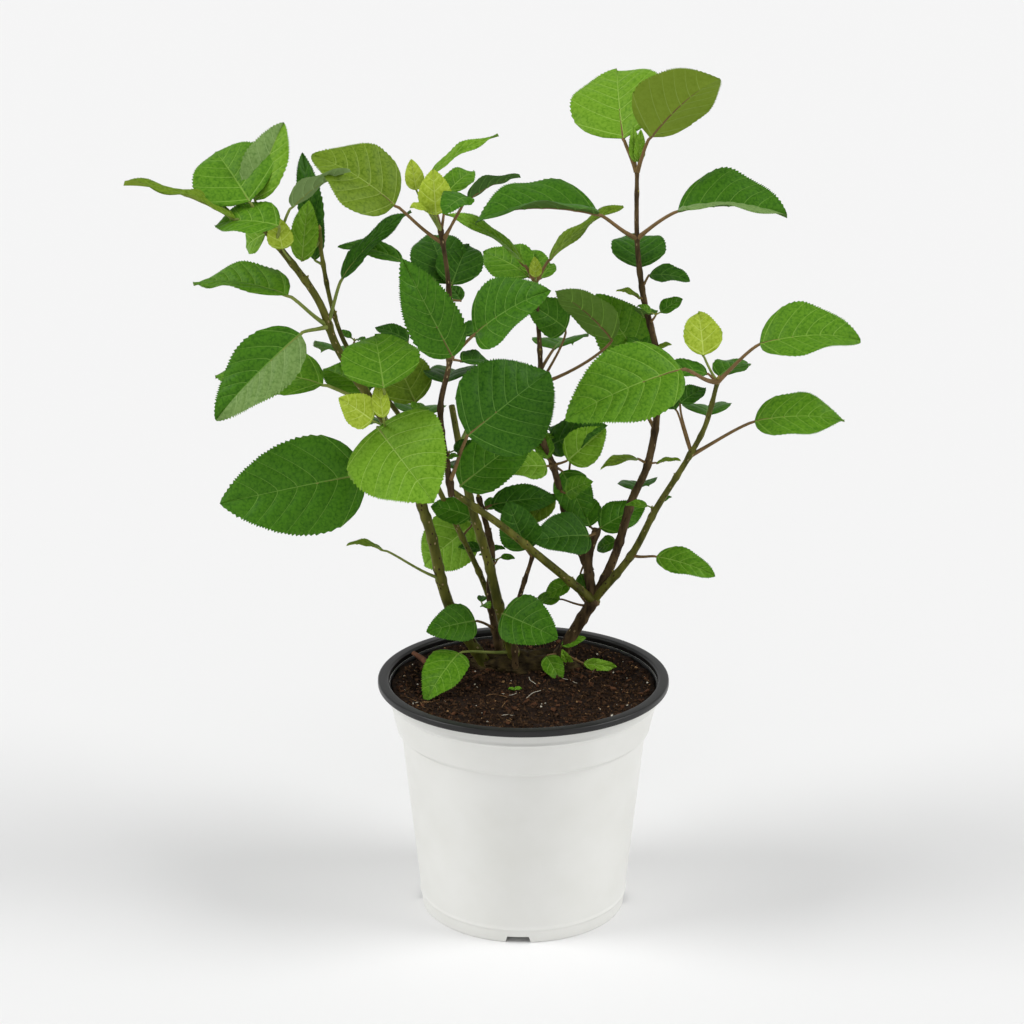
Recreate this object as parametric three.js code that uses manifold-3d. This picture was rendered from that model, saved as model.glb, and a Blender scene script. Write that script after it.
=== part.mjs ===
// A young hydrangea shrub in a round nursery pot, as separate closed solids.
// Millimetres, +Z up, +X to the right, -Y to the front.
// The origin is the middle of the pot's underside.
import * as THREE from "three";
import { mergeVertices } from "three/addons/utils/BufferGeometryUtils.js";
import Module from "manifold-3d";

const wasm = await Module();
wasm.setup();

// ---- driving dimensions ----

const pot = {
  height: 184,
  rimRadius: 110,
  rimWidth: 7.5,
  rimDepth: 5,
  collarTopRadius: 102.5,
  collarFootRadius: 96,
  collarDepth: 39,
  wallTopRadius: 93,
  baseRadius: 78,
  wall: 1.8,
  footHeight: 6,
  floorThickness: 2,
  bossRadius: 9,
  ridgeHeight: 11,
  notchWidth: 20,
  notchHeight: 5,
  notchTurn: -3,
  drainRadius: 5,
  drainCircle: 58,
  drains: 6,
  segments: 28,
};
const soilDepthBelowRim = 12;
const gap = 0.3;

const soilLevel = pot.height - soilDepthBelowRim;
const crownCentre = { x: 2, y: 50 };
const crownRadii = { x: 40, y: 17, z: 13 };

const stemSides = 7;
const stemStep = 24;
const stalkRadius = 1.5;
const hubRadius = 5.5;
const bladeThickness = 4;
const bladeArch = 0.07;
const bladeFold = 12;
const bladeWidth = 0.7;
const longBlade = 50;
const longBladeStations = [0.12, 0.32, 0.56, 0.8];
const shortBladeStations = [0.2, 0.5, 0.8];

// ---- colours ----

const finishes = {
  white_plastic: { color: 0xe9e9e7, roughness: 0.45, metalness: 0 },
  black_plastic: { color: 0x1c1d1f, roughness: 0.4, metalness: 0 },
  compost: { color: 0x2a1d15, roughness: 0.95, metalness: 0 },
  brown_bark: { color: 0x4d3b24, roughness: 0.8, metalness: 0 },
  green_bark: { color: 0x666b23, roughness: 0.6, metalness: 0 },
  leaf: { color: 0x3f8a22, roughness: 0.55, metalness: 0 },
  young_leaf: { color: 0xa9c94a, roughness: 0.55, metalness: 0 },
};

// ---- stems: radius at the foot and at the tip, and the joints that each one passes ----

const stems = {
  trunk: {
    radii: [5.2, 4.2],
    joints: [[24, 50, 172], [40, 50, 202], [54, 48, 227]],
    bark: "brown_bark",
  },
  left_stem: {
    radii: [4.6, 2.3],
    joints: [
      [-28, 50, 172], [-56, 42, 223], [-73, 28, 299], [-99, 12, 373],
      [-135, 0, 438], [-148, -5, 475], [-184, -18, 530],
    ],
    bark: "green_bark",
  },
  olive_stem: {
    radii: [4.6, 2.2],
    joints: [
      [-4, 46, 172], [-18, 42, 222], [-27, 34, 265], [-40, 22, 316],
      [-53, 12, 392],
    ],
    bark: "green_bark",
  },
  dark_stem: {
    radii: [3, 2],
    joints: [[-17, 58, 172], [-26, 56, 231], [-24, 54, 264], [-34, 50, 310]],
    bark: "brown_bark",
  },
  thin_stem: {
    radii: [2.4, 1.5],
    joints: [
      [-15, 66, 172], [-28, 62, 229], [-55, 46, 297], [-90, 34, 374],
      [-132, 18, 440], [-146, 12, 505], [-147, 12, 523],
    ],
    bark: "green_bark",
  },
  black_stem: {
    radii: [2.4, 1.5],
    joints: [[-6, 36, 172], [-6, 32, 220], [7, 26, 271]],
    bark: "brown_bark",
  },
  tall_stem: {
    radii: [3.6, 1.5],
    joints: [
      [54, 48, 227], [69, 50, 259], [83, 52, 307], [94, 54, 333],
      [101, 56, 375], [100, 58, 419], [89, 60, 465], [84, 60, 506],
      [83, 58, 558],
    ],
    bark: "brown_bark",
  },
  side_stem: {
    radii: [3.2, 1.6],
    joints: [
      [54, 48, 227], [82, 35, 268], [99, 20, 309], [122, 5, 355],
      [133, 0, 380], [141, -5, 416],
    ],
    bark: "green_bark",
  },
  cross_stem: {
    radii: [3.4, 2.4],
    joints: [[54, 48, 227], [16, 20, 269], [-17, -5, 305], [-53, -26, 338]],
    bark: "green_bark",
  },
  middle_stem: {
    radii: [2.4, 1.5],
    joints: [
      [-53, -26, 338], [-60, -28, 400], [-53, -28, 438], [-54, -24, 494],
      [-59, -22, 530],
    ],
    bark: "brown_bark",
  },
  old_stub: {
    radii: [4, 3],
    joints: [[54, 48, 227], [50, 55, 258], [57, 58, 282]],
    bark: "brown_bark",
  },
  back_stem: {
    radii: [3, 1.4],
    joints: [
      [50, 55, 252], [36, 64, 280], [23, 64, 330], [13, 66, 356],
      [13, 68, 405], [9, 70, 474],
    ],
    bark: "brown_bark",
  },
};
const stemOrder = Object.keys(stems);

// ---- foliage: each mass hangs on one stem at one height ----
// stalk and blade are [turn from +X, rise above level, length].
// lean tips the blade's face from straight up to the front, and side tips it to +X.

const masses = [
  { name: "top_right_tip", stem: "tall_stem", at: 556, leaves: [
    { stalk: [150, 65, 27], blade: [92, 30, 84], wide: 0.88, lean: 40, side: -14 },
    { stalk: [-43, 67, 30], blade: [-32, 41, 73], wide: 0.84, lean: -45, fold: 22 },
  ] },
  { name: "top_right_west", stem: "tall_stem", at: 507, leaves: [
    { stalk: [-161, 33, 37], blade: [-167, 1, 92], wide: 0.7, lean: 8, fold: 28 },
  ] },
  { name: "top_right_east", stem: "tall_stem", at: 507, leaves: [
    { stalk: [-19, 36, 38], blade: [-11, 1, 80], wide: 0.8, lean: 15, fold: 30 },
  ] },
  { name: "top_right_behind", stem: "tall_stem", at: 470, leaves: [
    { stalk: [95, 36, 20], blade: [88, 20, 52], wide: 0.8, lean: 0 },
    { stalk: [-20, 60, 12], blade: [-20, -3, 31], wide: 0.65, lean: 30 },
  ] },
  { name: "curled_pair", stem: "tall_stem", at: 335, leaves: [
    { stalk: [-153, 30, 11], blade: [-135, 2, 40], wide: 0.3, lean: 20 },
    { stalk: [-35, 16, 8], blade: [-27, 15, 20], wide: 0.3, lean: 20 },
  ] },
  { name: "right_upper", stem: "side_stem", at: 414, leaves: [
    { stalk: [-10, 45, 42], blade: [-8, 6, 72], wide: 0.78, lean: 28, fold: 20 },
  ] },
  { name: "right_node", stem: "side_stem", at: 414, young: true, leaves: [
    { stalk: [150, 58, 22], blade: [95, 45, 38], wide: 0.75, lean: 45 },
    { stalk: [80, 5, 14], blade: [55, 2, 42], wide: 0.6, lean: 10 },
  ] },
  { name: "right_inner", stem: "side_stem", at: 414, leaves: [
    { stalk: [-134, 23, 45], blade: [-161, -18, 92], wide: 0.66, lean: 50 },
  ] },
  { name: "right_lower", stem: "side_stem", at: 355, leaves: [
    { stalk: [-12, 32, 56], blade: [-9, 4, 65], wide: 0.66, lean: 32 },
  ] },
  { name: "right_low", stem: "side_stem", at: 268, leaves: [
    { stalk: [-39, 10, 24], blade: [-20, -12, 47], wide: 0.5, lean: 40 },
  ] },
  { name: "left_tip", stem: "left_stem", at: 530, leaves: [
    { stalk: [-150, 63, 22], blade: [124, 30, 60], wide: 1.02, lean: 60 },
    { stalk: [148, 70, 20], blade: [50, 60, 60], wide: 0.54, lean: 40, fold: 25 },
    { stalk: [-145, 21, 24], blade: [174, 17, 82], wide: 0.3, lean: 0 },
  ] },
  { name: "left_folded", stem: "left_stem", at: 518, leaves: [
    { stalk: [-80, 35, 31], blade: [160, -2, 50], wide: 0.8, lean: 25 },
    { stalk: [-40, 60, 33], blade: [-8, 33, 50], wide: 0.65, lean: -20 },
    { stalk: [121, 14, 18], blade: [135, -30, 27], wide: 0.85, lean: 55 },
  ] },
  { name: "left_inner", stem: "thin_stem", at: 515, leaves: [
    { stalk: [110, 6, 11], blade: [116, 68, 62], wide: 0.3, lean: 70 },
    { stalk: [-152, -43, 20], blade: [75, 68, 45], wide: 0.45, lean: 70 },
  ] },
  { name: "left_upper", stem: "left_stem", at: 455, leaves: [
    { stalk: [-151, 40, 41], blade: [152, 0, 82], wide: 0.5, lean: 16, fold: 20 },
  ] },
  { name: "left_lower", stem: "left_stem", at: 455, leaves: [
    { stalk: [-127, 1, 31], blade: [-157, -41, 86], wide: 0.53, lean: 60 },
  ] },
  { name: "left_behind", stem: "left_stem", at: 389, leaves: [
    { stalk: [170, 24, 45], blade: [164, 2, 86], wide: 0.6, lean: 25 },
  ] },
  { name: "left_arched", stem: "left_stem", at: 457, leaves: [
    { stalk: [0, 72, 35], blade: [32, 37, 72], wide: 0.24, lean: 20, arch: 0.08 },
  ] },
  { name: "middle_west", stem: "middle_stem", at: 520, leaves: [
    { stalk: [168, 37, 43], blade: [175, 31, 68], wide: 0.95, lean: 32 },
  ] },
  { name: "middle_tip", stem: "middle_stem", at: 528, young: true, leaves: [
    { stalk: [180, 60, 34], blade: [180, 81, 22], wide: 0.62, lean: 80 },
    { stalk: [-107, 53, 17], blade: [106, 76, 32], wide: 0.75, lean: 80 },
    { stalk: [113, 64, 42], blade: [6, 30, 55], wide: 0.24, lean: 20 },
    { stalk: [78, 48, 33], blade: [57, 18, 34], wide: 0.6, lean: 40 },
  ] },
  { name: "middle_east", stem: "middle_stem", at: 520, leaves: [
    { stalk: [6, 60, 36], blade: [0, 24, 40], wide: 0.7, lean: -25 },
  ] },
  { name: "middle_behind", stem: "middle_stem", at: 487, leaves: [
    { stalk: [92, -7, 44], blade: [110, 33, 54], wide: 0.8, lean: 40 },
    { stalk: [88, -7, 36], blade: [72, 30, 46], wide: 0.75, lean: 40 },
  ] },
  { name: "middle_front", stem: "middle_stem", at: 438, leaves: [
    { stalk: [-81, 16, 18], blade: [-156, 63, 82], wide: 0.48, lean: 80 },
  ] },
  { name: "middle_right", stem: "middle_stem", at: 438, leaves: [
    { stalk: [-50, 38, 37], blade: [-26, 33, 68], wide: 0.74, lean: 48, side: -10, fold: 24 },
  ] },
  { name: "young_left", stem: "left_stem", at: 378, young: true, leaves: [
    { stalk: [-88, 37, 70], blade: [101, 33, 54], wide: 1.05, lean: 45 },
    { stalk: [-97, 18, 58], blade: [-167, 37, 30], wide: 0.85, lean: 60 },
    { stalk: [-89, 20, 58], blade: [119, 73, 26], wide: 0.5, lean: 70 },
  ] },
  { name: "centre_left_round", stem: "left_stem", at: 372, leaves: [
    { stalk: [-104, 20, 34], blade: [-50, -32, 78], wide: 0.98, lean: 70 },
  ] },
  { name: "left_low", stem: "left_stem", at: 320, leaves: [
    { stalk: [-142, 28, 54], blade: [-169, -9, 108], wide: 0.67, lean: 72 },
  ] },
  { name: "centre_left_behind", stem: "middle_stem", at: 384, leaves: [
    { stalk: [118, 14, 44], blade: [120, 40, 50], wide: 0.8, lean: 55 },
    { stalk: [140, 22, 30], blade: [60, -10, 22], wide: 0.6, lean: 30 },
  ] },
  { name: "centre_dark", stem: "middle_stem", at: 345, leaves: [
    { stalk: [-48, 62, 44], blade: [30, 30, 78], wide: 0.95, lean: 68 },
  ] },
  { name: "centre_low", stem: "olive_stem", at: 330, leaves: [
    { stalk: [-110, 5, 12], blade: [16, 34, 70], wide: 0.6, lean: 60 },
  ] },
  { name: "centre_small", stem: "back_stem", at: 331, leaves: [
    { stalk: [-115, 12, 12], blade: [-151, 4, 42], wide: 0.6, lean: 50 },
    { stalk: [-140, 50, 8], blade: [114, 40, 26], wide: 0.6, lean: 45 },
    { stalk: [-37, 24, 15], blade: [6, 40, 38], wide: 0.78, lean: 65 },
    { stalk: [36, -36, 11], blade: [-16, -62, 42], wide: 0.7, lean: 65 },
  ] },
  { name: "back_tip_west", stem: "back_stem", at: 472, leaves: [
    { stalk: [-136, 52, 19], blade: [-159, 35, 76], wide: 0.3, lean: 20 },
    { stalk: [107, 5, 15], blade: [140, 15, 48], wide: 0.8, lean: 35 },
  ] },
  { name: "back_tip_east", stem: "back_stem", at: 472, leaves: [
    { stalk: [26, 55, 20], blade: [11, 35, 68], wide: 0.28, lean: 10 },
  ] },
  { name: "centre_right_behind", stem: "back_stem", at: 394, leaves: [
    { stalk: [25, 62, 46], blade: [-165, 36, 38], wide: 0.8, lean: 60 },
    { stalk: [-12, 34, 66], blade: [-173, 42, 58], wide: 0.7, lean: -40 },
  ] },
  { name: "centre_right", stem: "tall_stem", at: 384, leaves: [
    { stalk: [122, 48, 38], blade: [-172, 56, 60], wide: 0.74, lean: 80 },
  ] },
  { name: "low_centre_west", stem: "black_stem", at: 270, leaves: [
    { stalk: [-140, 50, 9], blade: [-150, 68, 44], wide: 0.72, lean: 80 },
  ] },
  { name: "low_centre_east", stem: "old_stub", at: 279, leaves: [
    { stalk: [-114, 7, 14], blade: [-148, 5, 52], wide: 0.7, lean: 50 },
    { stalk: [70, 5, 9], blade: [26, 18, 42], wide: 0.65, lean: 45 },
    { stalk: [117, 13, 10], blade: [108, 29, 34], wide: 0.8, lean: 40 },
  ] },
  { name: "low_behind", stem: "dark_stem", at: 270, leaves: [
    { stalk: [112, 14, 34], blade: [166, -42, 58], wide: 0.8, lean: 60 },
  ] },
  { name: "low_west", stem: "dark_stem", at: 200, leaves: [
    { stalk: [-125, 30, 30], blade: [-142, 2, 46], wide: 0.66, lean: 60 },
  ] },
  { name: "low_front", stem: "olive_stem", at: 186, leaves: [
    { stalk: [-155, 8, 46], blade: [-118, -22, 56], wide: 0.58, lean: 35 },
  ] },
  { name: "low_middle", stem: "olive_stem", at: 209, leaves: [
    { stalk: [-95, 46, 19], blade: [-37, -9, 52], wide: 0.78, lean: 62 },
  ] },
  { name: "low_far_west", stem: "left_stem", at: 248, leaves: [
    { stalk: [-139, 33, 67], blade: [-139, 20, 34], wide: 0.28, lean: 20 },
  ] },
  { name: "back_left", stem: "left_stem", at: 350, leaves: [
    { stalk: [100, 25, 34], blade: [112, -14, 86], wide: 0.7, lean: -30 },
  ] },
  { name: "back_middle", stem: "olive_stem", at: 360, leaves: [
    { stalk: [70, 30, 44], blade: [62, -8, 88], wide: 0.7, lean: -30 },
  ] },
  { name: "back_right", stem: "tall_stem", at: 362, leaves: [
    { stalk: [110, 20, 30], blade: [120, -10, 85], wide: 0.7, lean: -30 },
  ] },
];

// ---- solids ----

function solidFrom(geometry) {
  const plain = geometry.clone();
  plain.deleteAttribute("normal");
  plain.deleteAttribute("uv");
  const merged = mergeVertices(plain, 1e-3);
  const mesh = new wasm.Mesh({
    numProp: 3,
    vertProperties: new Float32Array(merged.attributes.position.array),
    triVerts: new Uint32Array(merged.index.array),
  });
  return new wasm.Manifold(mesh);
}

function geometryFrom(solid) {
  const mesh = solid.getMesh();
  const geometry = new THREE.BufferGeometry();
  geometry.setAttribute("position", new THREE.BufferAttribute(new Float32Array(mesh.vertProperties), 3));
  geometry.setIndex(new THREE.BufferAttribute(new Uint32Array(mesh.triVerts), 1));
  geometry.computeVertexNormals();
  return geometry;
}

function largestPiece(solid) {
  const pieces = solid.decompose();
  pieces.sort((a, b) => b.volume() - a.volume());
  return pieces[0];
}

function overlapping(a, b) {
  const p = a.boundingBox();
  const q = b.boundingBox();
  return [0, 1, 2].every((i) => p.min[i] < q.max[i] && q.min[i] < p.max[i]);
}

// ---- directions ----

function direction(turn, rise) {
  const t = THREE.MathUtils.degToRad(turn);
  const r = THREE.MathUtils.degToRad(rise);
  return new THREE.Vector3(Math.cos(t) * Math.cos(r), Math.sin(t) * Math.cos(r), Math.sin(r));
}

// The three axes of a blade: along the midrib, across it, and out of its upper face.
function bladeAxes(turn, rise, lean, side = 0) {
  const along = direction(turn, rise);
  const l = THREE.MathUtils.degToRad(lean);
  const t = THREE.MathUtils.degToRad(side);
  const face = new THREE.Vector3(Math.sin(t), -Math.sin(l) * Math.cos(t), Math.cos(l) * Math.cos(t));
  face.addScaledVector(along, -face.dot(along)).normalize();
  const across = new THREE.Vector3().crossVectors(along, face);
  return { along, across, face };
}

// ---- limbs ----

function curveThrough(joints) {
  return new THREE.CatmullRomCurve3(joints.map((p) => new THREE.Vector3(...p)), false, "centripetal");
}

// A round tapering limb: a cylinder whose rings are carried along the curve.
// beyond pushes both ends out along the limb.
function limbSolid(curve, footRadius, tipRadius, steps, beyond) {
  const geometry = new THREE.CylinderGeometry(tipRadius, footRadius, 1, stemSides, steps);
  const frames = curve.computeFrenetFrames(steps, false);
  const position = geometry.attributes.position;
  for (let i = 0; i < position.count; i += 1) {
    const step = Math.round((position.getY(i) + 0.5) * steps);
    const point = curve.getPointAt(step / steps);
    point.addScaledVector(frames.normals[step], position.getZ(i));
    point.addScaledVector(frames.binormals[step], position.getX(i));
    if (step === 0) point.addScaledVector(frames.tangents[0], -beyond);
    if (step === steps) point.addScaledVector(frames.tangents[steps], beyond);
    position.setXYZ(i, point.x, point.y, point.z);
  }
  return solidFrom(geometry);
}

function stemSolid(name, grow = 0) {
  const { radii, joints } = stems[name];
  const curve = curveThrough(joints);
  const steps = Math.round(curve.getLength() / stemStep);
  return limbSolid(curve, radii[0] + grow, radii[1] + grow, steps, grow);
}

// The point where a stem passes a height.
function stemPoint(name, height) {
  const curve = curveThrough(stems[name].joints);
  let low = 0;
  let high = 1;
  for (let i = 0; i < 30; i += 1) {
    const middle = (low + high) / 2;
    if (curve.getPointAt(middle).z < height) low = middle;
    else high = middle;
  }
  return curve.getPointAt((low + high) / 2);
}

// ---- leaves ----

// How far the midrib's arch lifts it above the straight line from base to tip.
function archLift(leaf, s) {
  return leaf.blade[2] * (leaf.arch ?? bladeArch) * 4 * s * (1 - s);
}

// Half the blade's width at s, as a share of half its greatest width.
function outlineAt(s) {
  return 2.435 * s ** 0.5 * (1 - s) ** 0.85;
}

function midribPoint(base, leaf, along, face, s) {
  return base.clone().addScaledVector(along, s * leaf.blade[2]).addScaledVector(face, archLift(leaf, s));
}

function squareTo(way, side) {
  return side.clone().addScaledVector(way, -side.dot(way)).normalize();
}

// The cross-sections of a leaf from the foot of its stalk to its tip.
function leafSections(foot, base, leaf, grow) {
  const { along, across, face } = bladeAxes(leaf.blade[0], leaf.blade[1], leaf.lean, leaf.side);
  const stalkWay = base.clone().sub(foot).normalize();
  const stalkAcross = squareTo(stalkWay, across);
  const stalkFace = new THREE.Vector3().crossVectors(stalkAcross, stalkWay);
  const halfWidth = leaf.blade[2] * (leaf.wide ?? bladeWidth) / 2;
  const round = (point) => ({
    point,
    across: stalkAcross,
    face: stalkFace,
    width: stalkRadius + grow,
    thick: stalkRadius + grow,
    fold: 0,
  });
  const stations = leaf.blade[2] < longBlade ? shortBladeStations : longBladeStations;
  return [
    round(foot.clone().addScaledVector(stalkWay, -grow)),
    round(base.clone()),
    ...stations.map((s) => ({
      point: midribPoint(base, leaf, along, face, s),
      across,
      face,
      width: outlineAt(s) * halfWidth + grow,
      thick: bladeThickness / 2 * outlineAt(s) + grow,
      fold: Math.tan(THREE.MathUtils.degToRad(leaf.fold ?? bladeFold)),
    })),
    { ...round(base.clone().addScaledVector(along, leaf.blade[2] + grow)), width: 0, thick: 0 },
  ];
}

// A stalk and its lens-shaped blade in one: a four-sided ball drawn out along the leaf.
function leafSolid(foot, base, leaf, grow) {
  const sections = leafSections(foot, base, leaf, grow);
  const geometry = new THREE.SphereGeometry(1, 4, sections.length);
  const position = geometry.attributes.position;
  for (let i = 0; i < position.count; i += 1) {
    const row = Math.floor(i / 5);
    const section = sections[Math.max(0, row - 1)];
    const ring = row === 0 ? 0 : 1;
    const corner = (i % 5) * Math.PI / 2;
    const x = ring * Math.round(Math.cos(corner)) * section.width;
    const lift = ring * Math.round(Math.sin(corner)) * section.thick + Math.abs(x) * section.fold;
    const point = section.point.clone();
    point.addScaledVector(section.across, x);
    point.addScaledVector(section.face, lift);
    position.setXYZ(i, point.x, point.y, point.z);
  }
  return solidFrom(geometry);
}

function leafBase(node, leaf) {
  return node.clone().addScaledVector(direction(leaf.stalk[0], leaf.stalk[1]), leaf.stalk[2]);
}

// A lone leaf starts at the stem's surface; leaves that share a node are joined by a knuckle round it.
function massSolid(mass, grow = 0) {
  const node = stemPoint(mass.stem, mass.at);
  if (mass.leaves.length === 1) {
    const [leaf] = mass.leaves;
    const way = direction(leaf.stalk[0], leaf.stalk[1]);
    const foot = node.clone().addScaledVector(way, stems[mass.stem].radii[0]);
    return leafSolid(foot, leafBase(node, leaf), leaf, grow);
  }
  const hub = new THREE.OctahedronGeometry(hubRadius + grow, 0);
  hub.translate(node.x, node.y, node.z);
  let solid = solidFrom(hub);
  for (const leaf of mass.leaves) solid = solid.add(leafSolid(node, leafBase(node, leaf), leaf, grow));
  return solid;
}


// ---- pot, rim, compost and crown ----

function lathe(profile) {
  const points = profile.map(([r, z]) => new THREE.Vector2(r, z));
  const geometry = new THREE.LatheGeometry(points, pot.segments);
  geometry.rotateX(Math.PI / 2);
  return solidFrom(geometry);
}

// The wall's outer radius between the foot and the step under the collar.
function wallRadius(z) {
  const top = pot.height - pot.collarDepth;
  return THREE.MathUtils.mapLinear(z, 0, top, pot.baseRadius, pot.wallTopRadius);
}

function notchCutter(turn) {
  const shape = new THREE.Shape();
  const half = pot.notchWidth / 2;
  shape.moveTo(-half, -1);
  shape.lineTo(half, -1);
  shape.lineTo(half * 0.8, pot.notchHeight);
  shape.lineTo(-half * 0.8, pot.notchHeight);
  shape.closePath();
  const cutter = new THREE.ExtrudeGeometry(shape, { depth: 12, bevelEnabled: false });
  cutter.rotateX(Math.PI / 2);
  cutter.translate(0, -pot.baseRadius + 9, 0);
  cutter.rotateZ(THREE.MathUtils.degToRad(turn));
  return solidFrom(cutter);
}

function drainCutter(turn) {
  const cutter = new THREE.CylinderGeometry(pot.drainRadius, pot.drainRadius, 12, 6);
  cutter.rotateX(Math.PI / 2);
  cutter.translate(0, -pot.drainCircle, pot.footHeight);
  cutter.rotateZ(THREE.MathUtils.degToRad(turn));
  return solidFrom(cutter);
}

function potSolid() {
  const shellTop = pot.height - pot.rimDepth - gap;
  const stepFoot = pot.height - pot.collarDepth - 3;
  const collarFoot = pot.height - pot.collarDepth;
  const beadFoot = pot.height - pot.rimDepth - 10;
  const floorTop = pot.footHeight + pot.floorThickness;
  const bead = 0.9;
  const profile = [
    [0, 0],
    [pot.bossRadius, 0],
    [pot.bossRadius + 1, pot.footHeight],
    [pot.baseRadius - pot.wall - 1, pot.footHeight],
    [pot.baseRadius - pot.wall - 1, 0],
    [pot.baseRadius, 0],
    [wallRadius(pot.ridgeHeight - 1), pot.ridgeHeight - 1],
    [wallRadius(pot.ridgeHeight) + bead, pot.ridgeHeight],
    [wallRadius(pot.ridgeHeight + 1.5), pot.ridgeHeight + 1.5],
    [wallRadius(stepFoot), stepFoot],
    [pot.collarFootRadius, collarFoot],
    [pot.collarTopRadius - 1.4, beadFoot],
    [pot.collarTopRadius - 0.2, beadFoot + 1],
    [pot.collarTopRadius - 0.8, beadFoot + 2.5],
    [pot.collarTopRadius, shellTop],
    [pot.collarTopRadius - pot.wall, shellTop],
    [pot.collarFootRadius - pot.wall, collarFoot + 1],
    [wallRadius(stepFoot) - pot.wall, stepFoot],
    [wallRadius(floorTop) - pot.wall, floorTop],
    [0, floorTop],
  ];
  let solid = lathe(profile);
  for (let i = 0; i < 4; i += 1) solid = solid.subtract(notchCutter(pot.notchTurn + 90 * i));
  for (let i = 0; i < pot.drains; i += 1) solid = solid.subtract(drainCutter((i + 0.5) * 360 / pot.drains));
  return solid;
}

function rimSolid() {
  const inner = pot.rimRadius - pot.rimWidth;
  const low = pot.height - pot.rimDepth;
  return lathe([
    [inner - 1, low],
    [pot.rimRadius - 0.8, low],
    [pot.rimRadius, low + 1.2],
    [pot.rimRadius, pot.height - 1.6],
    [pot.rimRadius - 1.6, pot.height],
    [inner + 1.2, pot.height],
    [inner - 1, pot.height - 1.8],
    [inner - 1, low],
  ]);
}

function compostSolid() {
  const stepFoot = pot.height - pot.collarDepth - 3;
  const collarFoot = pot.height - pot.collarDepth + 1;
  const floor = pot.footHeight + pot.floorThickness + gap;
  const inset = pot.wall + gap + 0.1;
  const collarSlope = (pot.collarTopRadius - pot.collarFootRadius) / (pot.collarDepth - pot.rimDepth);
  const surfaceRadius = pot.collarFootRadius + collarSlope * (soilLevel - collarFoot) - inset - 0.8;
  return lathe([
    [0, floor],
    [wallRadius(floor) - inset, floor],
    [wallRadius(stepFoot) - inset, stepFoot],
    [pot.collarFootRadius - inset - 0.4, collarFoot],
    [surfaceRadius, soilLevel],
    [0, soilLevel],
  ]);
}

// A block that fills everything up to just above the compost, to cut the plant's feet flat.
function groundSolid() {
  const block = new THREE.BoxGeometry(2 * pot.rimRadius, 2 * pot.rimRadius, soilLevel);
  block.translate(0, 0, soilLevel / 2 + gap);
  return solidFrom(block);
}

// The woody crown: a low lump that sits flat on the compost.
function crownSolid(grow = 0) {
  const lump = new THREE.SphereGeometry(1, 14, 8);
  const position = lump.attributes.position;
  for (let i = 0; i < position.count; i += 1) {
    const x = position.getX(i);
    const y = position.getY(i);
    const z = position.getZ(i);
    const uneven = 1 + 0.12 * Math.sin(5 * x + 3 * z) * Math.cos(4 * z - 2 * x);
    position.setXYZ(
      i,
      crownCentre.x + x * uneven * (crownRadii.x + grow),
      crownCentre.y - z * uneven * (crownRadii.y + grow),
      soilLevel + gap + y * uneven * (crownRadii.z + grow),
    );
  }
  return solidFrom(lump).subtract(groundSolid());
}

// ---- assembly ----

const group = new THREE.Group();

function place(name, solid, finish) {
  const mesh = new THREE.Mesh(geometryFrom(solid), new THREE.MeshStandardMaterial(finishes[finish]));
  mesh.name = name;
  group.add(mesh);
}

place("pot", potSolid(), "white_plastic");
place("pot_rim", rimSolid(), "black_plastic");
place("compost", compostSolid(), "compost");
place("crown", crownSolid(), "brown_bark");

// Every piece is cut clear of the pieces placed before it, which are kept a little swollen for that.
const standing = [groundSolid(), crownSolid(gap)];

function clearOfStanding(solid) {
  let clear = solid;
  for (const other of standing) {
    if (overlapping(clear, other)) clear = clear.subtract(other);
  }
  return largestPiece(clear);
}

for (const name of stemOrder) {
  place(name, clearOfStanding(stemSolid(name)), stems[name].bark);
  standing.push(stemSolid(name, gap));
}
for (const mass of masses) {
  place(mass.name, clearOfStanding(massSolid(mass)), mass.young ? "young_leaf" : "leaf");
  standing.push(massSolid(mass, gap));
}

export default group;
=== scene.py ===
"""The looks of a young hydrangea shrub in a round nursery pot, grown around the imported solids.

The plan's values are millimetres in the solids' frame: +Z up, -Y to the front, and the origin in
the middle of the pot's underside. Shapes are worked out in millimetres, and turned into metres
when they become pieces. Angles are degrees: a turn starts at +X, and a rise is above level.
"""

from math import cos, exp, hypot, pi, radians, sin, sqrt, tan

import bpy
import numpy as np
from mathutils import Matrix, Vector, noise


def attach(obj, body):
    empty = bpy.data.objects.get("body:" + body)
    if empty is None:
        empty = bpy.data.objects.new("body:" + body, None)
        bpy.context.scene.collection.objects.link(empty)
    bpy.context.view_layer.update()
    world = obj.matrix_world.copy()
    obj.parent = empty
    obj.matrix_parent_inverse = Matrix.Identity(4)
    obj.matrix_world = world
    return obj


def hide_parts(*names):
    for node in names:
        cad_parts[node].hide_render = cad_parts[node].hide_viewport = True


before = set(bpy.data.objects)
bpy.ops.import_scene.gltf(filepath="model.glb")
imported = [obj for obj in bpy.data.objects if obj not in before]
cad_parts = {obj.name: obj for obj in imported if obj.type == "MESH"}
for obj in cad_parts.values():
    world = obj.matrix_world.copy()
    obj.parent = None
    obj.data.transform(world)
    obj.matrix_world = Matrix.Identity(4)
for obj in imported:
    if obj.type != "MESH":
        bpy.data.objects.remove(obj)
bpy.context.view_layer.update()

MM = 0.001
SEED = 611
rng = np.random.default_rng(SEED)
draw = rng.uniform


# ---- the plan: the same stems and leaves as the solids have ----


def limb(foot_radius, tip_radius, bark, joints):
    return {"radii": (foot_radius, tip_radius), "bark": bark, "joints": np.array(joints, float)}


def node(stem, height, *leaves):
    return {"stem": stem, "height": height, "leaves": leaves}


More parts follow.
